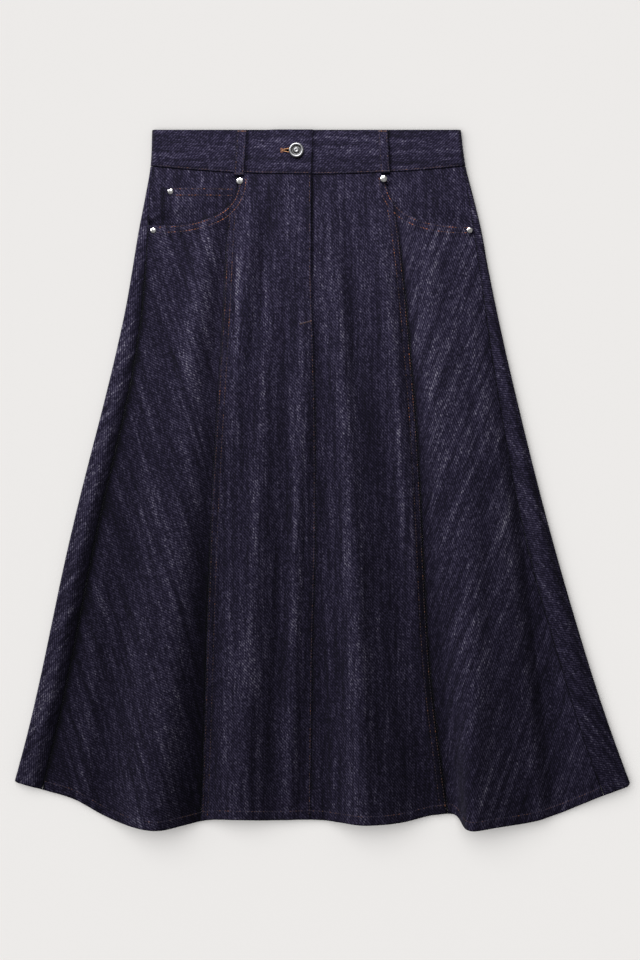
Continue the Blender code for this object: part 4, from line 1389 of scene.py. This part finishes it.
def princess_rows(side):
    """The two rows on the centre panel's side of a princess seam, below the pocket's own rows."""
    def below_mouth(x, drop):
        return mouth_distance(side, x, drop) > ROW_FAR + ROW_CLEAR

    return [
        row_down(sewn, side + "_princess", SIGNS[side] * inward, BAND_CENTRE, princess_tone, below_mouth)
        for inward in (ROW_NEAR, ROW_FAR)
    ]


def centre_row():
    """The row beside the fly's edge and on down the centre seam."""
    return [row_down(sewn_lap, "centre", -ROW_NEAR, BAND_CENTRE + 1, down_seam(CENTRE_TONE))]


def mouth_rows(side):
    """Two rows round a pocket's mouth."""
    scoop = SCOOPS[side]
    surface_at = sewn_lap if side == "left" else sewn
    turn = np.linspace(*MOUTH_TURNS) * math.pi / 2
    across, down = (np.maximum(f(turn), 0) ** (2 / SCOOP_POWER) for f in (np.cos, np.sin))
    x = scoop.corner_x + scoop.width * across
    drop = scoop.corner_drop + scoop.depth * down
    slopes = across ** (SCOOP_POWER - 1) / scoop.width, down ** (SCOOP_POWER - 1) / scoop.depth
    normal = unit(np.stack(slopes), 0)

    def below_band(x, drop):
        return drop > band_seam(x) + ROW_CLEAR

    tone = across_seam(MOUTH_TONE)
    return [
        row(surface_at, x + normal[0] * inward, drop + normal[1] * inward, tone, below_band)
        for inward in (ROW_NEAR, ROW_FAR)
    ]


def hem_row():
    """The row round the front of the turned-up hem."""
    x = np.arange(*HEM_ENDS, 1.0)
    drop = front_hem(x) - HEM_ROW
    return [row(sewn, x, drop, across_seam(HEM_TONE))]


def band_rows():
    """The row above the waistband's lower seam, on both its front pieces."""
    rows = []
    for lapped, low, high in BAND_ENDS:
        x = np.arange(low, high, 1.0)
        rows.append(row(band_cloth(lapped), x, band_seam(x) - BAND_ROW, across_seam(BAND_TONE)))
    return rows


def coin_rows():
    x = np.arange(*COIN_ENDS, 1.0)
    return [row(coin_cloth, x, COIN_TOP + down + 0 * x, across_seam(COIN_TONE)) for down in COIN_ROWS]


def loop_rows(side):
    """A belt loop's two side rows and its bar tacks: rust at the top and dark at the foot."""
    loop = LOOPS[side]
    surface_at = loop_cloth(side)
    drop = np.arange(loop.top_drop + 1, loop.bottom_drop - 1, 1.0)
    left = loop_middle(side, drop)[0]
    batches = [
        row(surface_at, left + across - LOOP_WIDTH / 2, drop, lambda x, _: LOOP_TONES[1] + 0 * x)
        for across in LOOP_ROWS
    ]
    for down, tone in zip((loop.top_drop + LOOP_TACKS[0], loop.bottom_drop - LOOP_TACKS[1]), LOOP_TONES):
        middle = float(loop_middle(side, down)[0])
        ends = (middle - LOOP_WIDTH / 2 + 1, down), (middle + LOOP_WIDTH / 2 - 1, down)
        batches.append(bar_tack(surface_at, *ends, LOOP_TACK_WIDTH, tone))
    return batches


def buttonhole_rows():
    """Thread round the keyhole's edge, with a bar tack at its closed end."""
    outline = np.array([(x, LENGTH / 2 - y) for x, y in keyhole(0.0)])
    closed = np.concatenate([outline, outline[:1]])
    along = run(closed, 0)
    at = np.arange(0, along[-1], PURL_PITCH)
    place = np.stack([np.interp(at, along, closed[:, 0]), np.interp(at, along, closed[:, 1])], axis=-1)
    forward = np.roll(place, -2, axis=0) - np.roll(place, 2, axis=0)
    outward = unit(np.stack([-forward[:, 1], forward[:, 0]], axis=-1))
    if np.sum(outward * (place - place.mean(axis=0))) < 0:
        outward = -outward
    tones = np.clip(HOLE_TONES[0] + RANDOM.normal(0, HOLE_SPREAD, len(at)), 0, 1)
    surface_at = band_cloth(True)
    purl = Stitches(surface_at, place - outward * PURL_INSIDE, place + outward * PURL, tones, PURL_RADIUS)
    end = HOLE_END_X - HOLE_TACK_INSET
    ends = (end, BUTTON_DROP - HOLE_TACK_REACH), (end, BUTTON_DROP + HOLE_TACK_REACH)
    return [purl, bar_tack(surface_at, *ends, HOLE_TACK_WIDTH, HOLE_TONES[1])]


def keyhole(grow):
    """The outline of the buttonhole: a round eye for the shank, and a slit that closes towards the left."""
    radius, slit = HOLE_RADIUS + grow, SLIT / 2 + grow
    y = LENGTH / 2 - BUTTON_DROP
    meet = math.radians(EYE_MEET)
    outline = [
        (BUTTON_X + radius * math.cos(angle), y + radius * math.sin(angle))
        for angle in np.linspace(math.pi + meet, 3 * math.pi - meet, EYE_POINTS)
    ]
    return outline + [(HOLE_END_X, y + slit), (HOLE_END_X, y - slit)]


# ---------------------------------------------------------------- metal
def arc_points(arc):
    """Points of a profile's round part."""
    angles = np.radians(np.linspace(arc.start, arc.end, arc.count))
    return [(arc.radius + arc.reach * math.cos(a), arc.height + arc.reach * math.sin(a)) for a in angles]


def turned_piece(name, profile, segments, materials, dark=()):
    """A solid of revolution about Z, from radii and heights that start and end on the axis.

    The profile's steps that dark names take the second material.
    """
    profile = np.array(profile)
    angles = np.linspace(0, 2 * math.pi, segments, endpoint=False)
    rings = profile[1:-1]
    around = np.stack(
        [rings[:, :1] * np.cos(angles), rings[:, :1] * np.sin(angles), rings[:, 1:] + 0 * angles], axis=-1
    )
    index = np.arange(len(rings) * segments).reshape(len(rings), segments)
    after = np.roll(index, -1, axis=1)
    quads = np.stack([index[:-1], after[:-1], after[1:], index[1:]], axis=-1)
    foot, tip = len(rings) * segments, len(rings) * segments + 1
    faces = [[foot, after[0, k], index[0, k]] for k in range(segments)]
    faces += quads.reshape(-1, 4).tolist()
    faces += [[tip, index[-1, k], after[-1, k]] for k in range(segments)]
    slots = [0] * segments
    slots += [int(step in dark) for step in range(len(rings) - 1) for _ in range(segments)]
    slots += [0] * segments
    ends = np.array([(0, 0, profile[0, 1]), (0, 0, profile[-1, 1])])
    points = np.concatenate([around.reshape(-1, 3), ends])
    piece = add_piece(name, points, faces, materials, slots)
    return piece


def make_button():
    """A jeans button: a rolled ring, a sunk floor and a dimpled stud, on a shank through the hole."""
    place = np.array([BUTTON_X]), np.array([BUTTON_DROP])
    foot = float(band_front_surface(*place, False)[0, 2]) + BAND / 2 + LAYER_GAP
    seat = float(band_front_surface(*place, True)[0, 2]) + BAND / 2 + LAYER_GAP
    head = [*BUTTON_BASE, *arc_points(BUTTON_RING), *BUTTON_WELL, *arc_points(BUTTON_STUD), *BUTTON_DIMPLE]
    profile = [(0, foot), (SHANK_RADIUS, foot), *((radius, seat + height) for radius, height in head)]
    # The well's steps take a dark metal: painted shade in the recess.
    well = 1 + len(BUTTON_BASE) + BUTTON_RING.count
    dark = range(well, well + len(BUTTON_WELL))
    metals = (MATERIALS["button_metal"], MATERIALS["dark_metal"])
    button = turned_piece("button_cast", profile, BUTTON_SIDES, metals, dark)
    button.location = (BUTTON_X * MM, (LENGTH / 2 - BUTTON_DROP) * MM, 0)
    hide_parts("button")


def make_rivet(rivet):
    """A low polished dome on a thin flange."""
    surface_at = coin_cloth if rivet.rests_on == "coin" else sewn_lap
    place, normal = tops(surface_at, np.array([rivet.x]), np.array([rivet.drop]))
    radius = rivet.radius
    top = RIVET_FLANGE[-1][1]
    profile = [(0, 0), *((radius * share, height) for share, height in RIVET_FLANGE)]
    profile += [
        (radius * RIVET_DOME * math.cos(a), top + RIVET_DOME * math.sin(a)) for a in np.linspace(*RIVET_TURN)
    ]
    profile += [(0, top + RIVET_PEAK)]
    head = turned_piece(rivet.name + "_head", profile, RIVET_SIDES, (MATERIALS["metal"],))
    normal = Vector(normal[0])
    head.location = (Vector(place[0]) + normal * RIVET_LIFT) * MM
    head.rotation_mode = "QUATERNION"
    head.rotation_quaternion = normal.to_track_quat("Z", "Y")
    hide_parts(rivet.name)


# ---------------------------------------------------------------- materials
def new_material(name, colour, roughness, metallic=0.0):
    made = bpy.data.materials.new(name)
    made.use_nodes = True
    shader = made.node_tree.nodes["Principled BSDF"]
    shader.inputs["Base Color"].default_value = (*colour, 1)
    shader.inputs["Roughness"].default_value = roughness
    shader.inputs["Metallic"].default_value = metallic
    return made, shader


def node(tree, kind, links=(), **settings):
    """A new node: links go into its inputs by name or number, and settings are its properties."""
    made = tree.nodes.new(kind)
    for name, value in settings.items():
        setattr(made, name, value)
    for name, value in dict(links).items():
        if isinstance(value, bpy.types.NodeSocket):
            tree.links.new(value, made.inputs[name])
        else:
            made.inputs[name].default_value = value
    return made


def maths(tree, operation, *values):
    return node(tree, "ShaderNodeMath", enumerate(values), operation=operation).outputs[0]


def sum_of(tree, terms, start):
    """start + each value times its weight."""
    total = start
    for value, weight in terms:
        total = maths(tree, "MULTIPLY_ADD", value, weight, total)
    return total


def noise(tree, places, scale, detail):
    links = {"Vector": places, "Scale": scale, "Detail": detail}
    return node(tree, "ShaderNodeTexNoise", links).outputs["Fac"]


def roughen(tree, shader, height, distance, strength):
    """Bumps on a material, from heights, with their distance in millimetres."""
    links = {"Height": height, "Distance": distance * MM, "Strength": strength}
    tree.links.new(node(tree, "ShaderNodeBump", links).outputs[0], shader.inputs["Normal"])


def darkened(colour, share):
    return tuple(part * share for part in colour)


def ramp(tree, value, stops):
    made = node(tree, "ShaderNodeValToRGB", {0: value})
    elements = made.color_ramp.elements
    while len(elements) < len(stops):
        elements.new(0.5)
    for element, (place, colour) in zip(elements, stops):
        element.position = place
        element.color = (*colour, 1)
    return made.outputs["Color"]


def specks(tree, places):
    """A value of its own for each crossing of the yarns, most of them low."""
    turned = {"Vector": places, "Rotation": (0, 0, math.radians(SPECK_TURN)), "Scale": (*SPECKS, 1)}
    scaled = node(tree, "ShaderNodeMapping", turned)
    cell = node(tree, "ShaderNodeVectorMath", {0: scaled.outputs[0]}, operation="FLOOR")
    white = node(tree, "ShaderNodeTexWhiteNoise", {"Vector": cell.outputs[0]}, noise_dimensions="2D")
    return maths(tree, "POWER", white.outputs["Value"], SPECK_POWER)


def woven(tree):
    """Values of the weave on the grain map: specks, noise stretched along the warp, and the twill's ribs."""
    places = node(tree, "ShaderNodeUVMap", uv_map="grain").outputs["UV"]
    values = []
    for across, along, detail in GRAIN_LAYERS:
        scaled = node(tree, "ShaderNodeMapping", {"Vector": places, "Scale": (across, along, 1)})
        links = {"Vector": scaled.outputs[0], "Scale": 1.0, "Detail": detail, "Roughness": GRAIN_ROUGHNESS}
        values.append(node(tree, "ShaderNodeTexNoise", links, noise_dimensions="2D").outputs["Fac"])
    parts = node(tree, "ShaderNodeSeparateXYZ", {0: places})
    slant = maths(tree, "SUBTRACT", parts.outputs["X"], parts.outputs["Y"])
    turns = maths(tree, "MULTIPLY", slant, 2 * math.pi / (TWILL * MM * 2**0.5))
    wobble = maths(tree, "MULTIPLY_ADD", values[2], TWILL_WOBBLE, turns)
    return specks(tree, places), values, maths(tree, "SINE", wobble)


def denim_material(name, stops, sheen):
    made, shader = new_material(name, stops[1][1], DENIM_MATT)
    tree = made.node_tree
    yarns, layers, ribs = woven(tree)
    # The attribute darkens the denim with painted shade where it is below 0, and lightens it where it is
    # above: painted light on the ridges and a lighter tone on two gores.
    wear = node(tree, "ShaderNodeAttribute", attribute_name="wear").outputs["Fac"]
    terms = [*zip(layers, GRAIN_WEIGHTS), (yarns, SPECK_WEIGHT), (ribs, RIB_WEIGHT), (wear, PAINTED_SHADING_WEIGHT)]
    value = sum_of(tree, terms, 0.5 - sum(GRAIN_WEIGHTS) / 2 - SPECK_WEIGHT / (1 + SPECK_POWER))
    tree.links.new(ramp(tree, value, stops), shader.inputs["Base Color"])
    height = sum_of(tree, zip((layers[2], yarns), BUMP_WEIGHTS), ribs)
    roughen(tree, shader, height, BUMP, BUMP_STRENGTH)
    roughness = sum_of(tree, [(layers[1], DENIM_ROUGHNESS[1])], DENIM_ROUGHNESS[0])
    tree.links.new(roughness, shader.inputs["Roughness"])
    shader.inputs["Sheen Weight"].default_value = sheen
    shader.inputs["Sheen Roughness"].default_value = SHEEN_ROUGHNESS
    shader.inputs["Specular IOR Level"].default_value = DENIM_SHINE
    return made


def thread_material():
    made, shader = new_material("thread", THREAD_COLOUR, THREAD_ROUGHNESS)
    tree = made.node_tree
    tone = node(tree, "ShaderNodeAttribute", attribute_name="tone").outputs["Fac"]
    places = node(tree, "ShaderNodeTexCoord").outputs["Object"]
    fuzz = noise(tree, places, THREAD_FUZZ.scale, THREAD_FUZZ.detail)
    value = sum_of(tree, [(fuzz, THREAD_FUZZ.weight)], maths(tree, "SUBTRACT", tone, THREAD_FUZZ.weight / 2))
    tree.links.new(ramp(tree, value, THREAD_STOPS), shader.inputs["Base Color"])
    shader.inputs["Specular IOR Level"].default_value = THREAD_SHINE
    strands = node(tree, "ShaderNodeTexWave", {"Vector": places, **THREAD_STRANDS})
    roughen(tree, shader, strands.outputs["Fac"], *THREAD_BUMP)
    return made


def metal_material(name, colour, roughness):
    made, shader = new_material(name, colour, roughness, 1.0)
    tree = made.node_tree
    places = node(tree, "ShaderNodeTexCoord").outputs["Object"]
    tarnish = noise(tree, places, TARNISH.scale, TARNISH.detail)
    stops = zip(TARNISH_PLACES, (darkened(colour, TARNISH_DARK), colour))
    tree.links.new(ramp(tree, tarnish, tuple(stops)), shader.inputs["Base Color"])
    value = sum_of(tree, [(tarnish, TARNISH.weight)], roughness - TARNISH.weight / 2)
    tree.links.new(value, shader.inputs["Roughness"])
    roughen(tree, shader, noise(tree, places, *GRIT), *GRIT_BUMP)
    return made


def floor_material():
    made, shader = new_material("paper", FLOOR, FLOOR_ROUGHNESS)
    tree = made.node_tree
    places = node(tree, "ShaderNodeTexCoord").outputs["Object"]
    stops = zip(FIBRE_PLACES, (darkened(FLOOR, FIBRE_DARK), FLOOR))
    tree.links.new(ramp(tree, noise(tree, places, *FIBRE), tuple(stops)), shader.inputs["Base Color"])
    shader.inputs["Specular IOR Level"].default_value = 0.0
    return made


# ---------------------------------------------------------------- the pieces
def make_panels():
    """The seven gores."""
    made = {}
    both = (RIM_STEPS, RIM_STEPS)
    shades = {"left": (side_shade_left, hollow), "right": (side_shade_right, fly_shade)}
    for side, sign in SIGNS.items():
        surface = front_side(side)
        places = lattice(surface, both, (SEWN_STEPS, SEWN_STEPS), DOWN_STEP)
        made[f"front_side_{side}"] = cloth(f"front_side_{side}", surface, places, crevice=shades[side][0])
        surface = front_centre(side)
        edges = (SEWN_STEPS if side == "left" else RIM_STEPS, SEWN_STEPS)
        places = lattice(surface, edges, (RIM_STEPS, SEWN_STEPS), DOWN_STEP)
        made[f"front_centre_{side}"] = cloth(f"front_centre_{side}", surface, places, crevice=shades[side][1])
        surface = back_side(side)
        steps = (ACROSS_STEP, ROUND_STEP, BACK_STEP)
        places = lattice(surface, both, (RIM_STEPS, SEWN_STEPS), 2 * DOWN_STEP, (0, *BACK_SHARES, 1), steps)
        name = f"back_side_{side}"
        made[name] = cloth(name, surface, places, ALL_RIMS, -sign, 0, strip_shade)
    places = lattice(back_centre, both, (RIM_STEPS, SEWN_STEPS), BACK_STEP, steps=(BACK_STEP,))
    made["back_centre"] = cloth("back_centre", back_centre, places, outward=-1)
    return made


def cut_buttonhole(piece):
    """Cuts the keyhole through the waistband's left end."""
    outline = keyhole(0.0)
    count = len(outline)
    points = np.array([(x, y, z) for z in CUTTER_HEIGHTS for x, y in outline])
    faces = [list(range(count))[::-1], list(range(count, 2 * count))]
    faces += [[i, (i + 1) % count, (i + 1) % count + count, i + count] for i in range(count)]
    cutter = add_object("keyhole", new_mesh("keyhole", points, faces))
    hole = piece.modifiers.new("keyhole", "BOOLEAN")
    hole.object = cutter
    hole.solver = "EXACT"
    bpy.context.view_layer.update()
    cut = bpy.data.meshes.new_from_object(piece.evaluated_get(bpy.context.evaluated_depsgraph_get()))
    piece.modifiers.clear()
    piece.data = cut
    bpy.data.objects.remove(cutter, do_unlink=True)


def make_waistband():
    made = {}
    for side, other in (("left", "right"), ("right", "left")):
        name = f"waistband_front_{side}"
        surface = band_front(side)
        edges = left_to_right(side, NO_STEPS, RIM_STEPS)
        places = lattice(surface, edges, (RIM_STEPS, RIM_STEPS), BAND_STEP)
        made[name] = cloth(name, surface, places, ("top", "bottom", other), crevice=band_shade)
    cut_buttonhole(made["waistband_front_left"])
    first, second = (share / 2 for share in BAND_SHARES)
    joints = (0, first, second, 0.5, 1 - second, 1 - first, 1)
    steps = (ACROSS_STEP, ROUND_STEP, BACK_STEP, BACK_STEP, ROUND_STEP, ACROSS_STEP)
    places = lattice(band_back, (NO_STEPS, NO_STEPS), (RIM_STEPS, RIM_STEPS), BAND_BACK_STEP, joints, steps)
    made["waistband_back"] = cloth("waistband_back", band_back, places, ("top", "bottom"), -1, 0)
    return made


def make_pockets_and_loops():
    made = {}
    both = (RIM_STEPS, RIM_STEPS)
    for side, shade in (("left", facing_shade), ("right", None)):
        surface = facing(side)
        places = lattice(surface, both, both, FACING_STEP, steps=(FACING_STEP,))
        made[f"pocket_facing_{side}"] = cloth(f"pocket_facing_{side}", surface, places, crevice=shade)
        surface = belt_loop(side)
        places = lattice(surface, both, both, LOOP_STEPS[0], steps=LOOP_STEPS[1:])
        made[f"belt_loop_{side}"] = cloth(f"belt_loop_{side}", surface, places)
    places = lattice(coin_pocket, both, both, COIN_STEPS[0], steps=COIN_STEPS[1:])
    made["coin_pocket"] = cloth("coin_pocket", coin_pocket, places, crevice=mouth_shade)
    return made


def make_sewing():
    seams = {}
    for side in SIGNS:
        seams[f"stitches_princess_{side}"] = princess_rows(side)
        seams[f"stitches_pocket_{side}"] = mouth_rows(side)
        seams[f"stitches_loop_{side}"] = loop_rows(side)
    seams["stitches_centre"] = centre_row()
    seams["fly_tack"] = [bar_tack(sewn_lap, *FLY_TACK, FLY_TACK_WIDTH, FLY_TACK_TONE)]
    seams["stitches_hem"] = hem_row()
    seams["stitches_waistband"] = band_rows()
    seams["stitches_coin_pocket"] = coin_rows()
    seams["buttonhole_thread"] = buttonhole_rows()
    for name, batches in seams.items():
        add_thread(name, batches)


def aim(light, place, direction):
    """Puts a light in the scene, shining along a direction."""
    holder = add_object(light.name, light)
    holder.location = place
    holder.rotation_mode = "QUATERNION"
    holder.rotation_quaternion = Vector(direction).to_track_quat("-Z", "Y")
    return holder


def light_only(holder, things):
    """Makes a light fall on these things alone."""
    lit = bpy.data.collections.new("lit_by_" + holder.name)
    for thing in things:
        lit.objects.link(thing)
    holder.light_linking.receiver_collection = lit


def make_top_lamp():
    """A soft lamp beyond the waist, whose light falls off towards the hem."""
    lamp = bpy.data.lights.new("top_lamp", "AREA")
    lamp.shape = "SQUARE"
    lamp.size = LAMP_SIZE
    lamp.energy = LAMP
    holder = aim(lamp, LAMP_PLACE, Vector(LAMP_AIM) - Vector(LAMP_PLACE))
    holder.visible_camera = False
    return holder


def make_sun(name, energy, angle, direction):
    sun = bpy.data.lights.new(name, "SUN")
    sun.energy = energy
    sun.angle = math.radians(angle)
    return aim(sun, (0, 0, 1), direction)


def make_lights(ground):
    """A low key and a lamp beyond the waist light the skirt, and a wide overhead light the ground."""
    skirt = [thing for thing in bpy.data.objects if thing.type == "MESH" and thing != ground]
    light_only(make_sun("key", SUN, SUN_ANGLE, SUN_DIRECTION), skirt)
    light_only(make_top_lamp(), skirt)
    light_only(make_sun("overhead", OVERHEAD, OVERHEAD_ANGLE, OVERHEAD_DIRECTION), [ground])


def make_stage():
    """A pale ground, light from all round, and the camera."""
    corners = np.array([(-1, -1), (1, -1), (1, 1), (-1, 1)]) * FLOOR_REACH
    ground = add_object("ground", new_mesh("ground", np.insert(corners, 2, FLOOR_Z, axis=1), [(0, 1, 2, 3)]))
    ground.data.materials.append(floor_material())

    world = bpy.data.worlds.new("room")
    world.use_nodes = True
    light = world.node_tree.nodes["Background"]
    light.inputs["Color"].default_value = (*ROOM, 1)
    light.inputs["Strength"].default_value = ROOM_STRENGTH
    bpy.context.scene.world = world

    camera = bpy.data.cameras.new("camera")
    camera.lens = LENS
    camera.sensor_width = SENSOR
    camera.clip_start, camera.clip_end = CLIP
    viewer = add_object("camera", camera)
    viewer.location = CAMERA
    bpy.context.scene.camera = viewer
    bpy.context.scene.view_settings.view_transform = "Standard"
    return ground


def main():
    for slot, name, stops, sheen in DENIMS:
        MATERIALS[slot] = denim_material(name, stops, sheen)
    MATERIALS["thread"] = thread_material()
    for slot, name, colour, roughness in METALS:
        MATERIALS[slot] = metal_material(name, colour, roughness)
    ground = make_stage()
    pieces = {**make_panels(), **make_waistband(), **make_pockets_and_loops()}
    make_button()
    for rivet in RIVETS:
        make_rivet(rivet)
    make_sewing()
    make_lights(ground)


main()
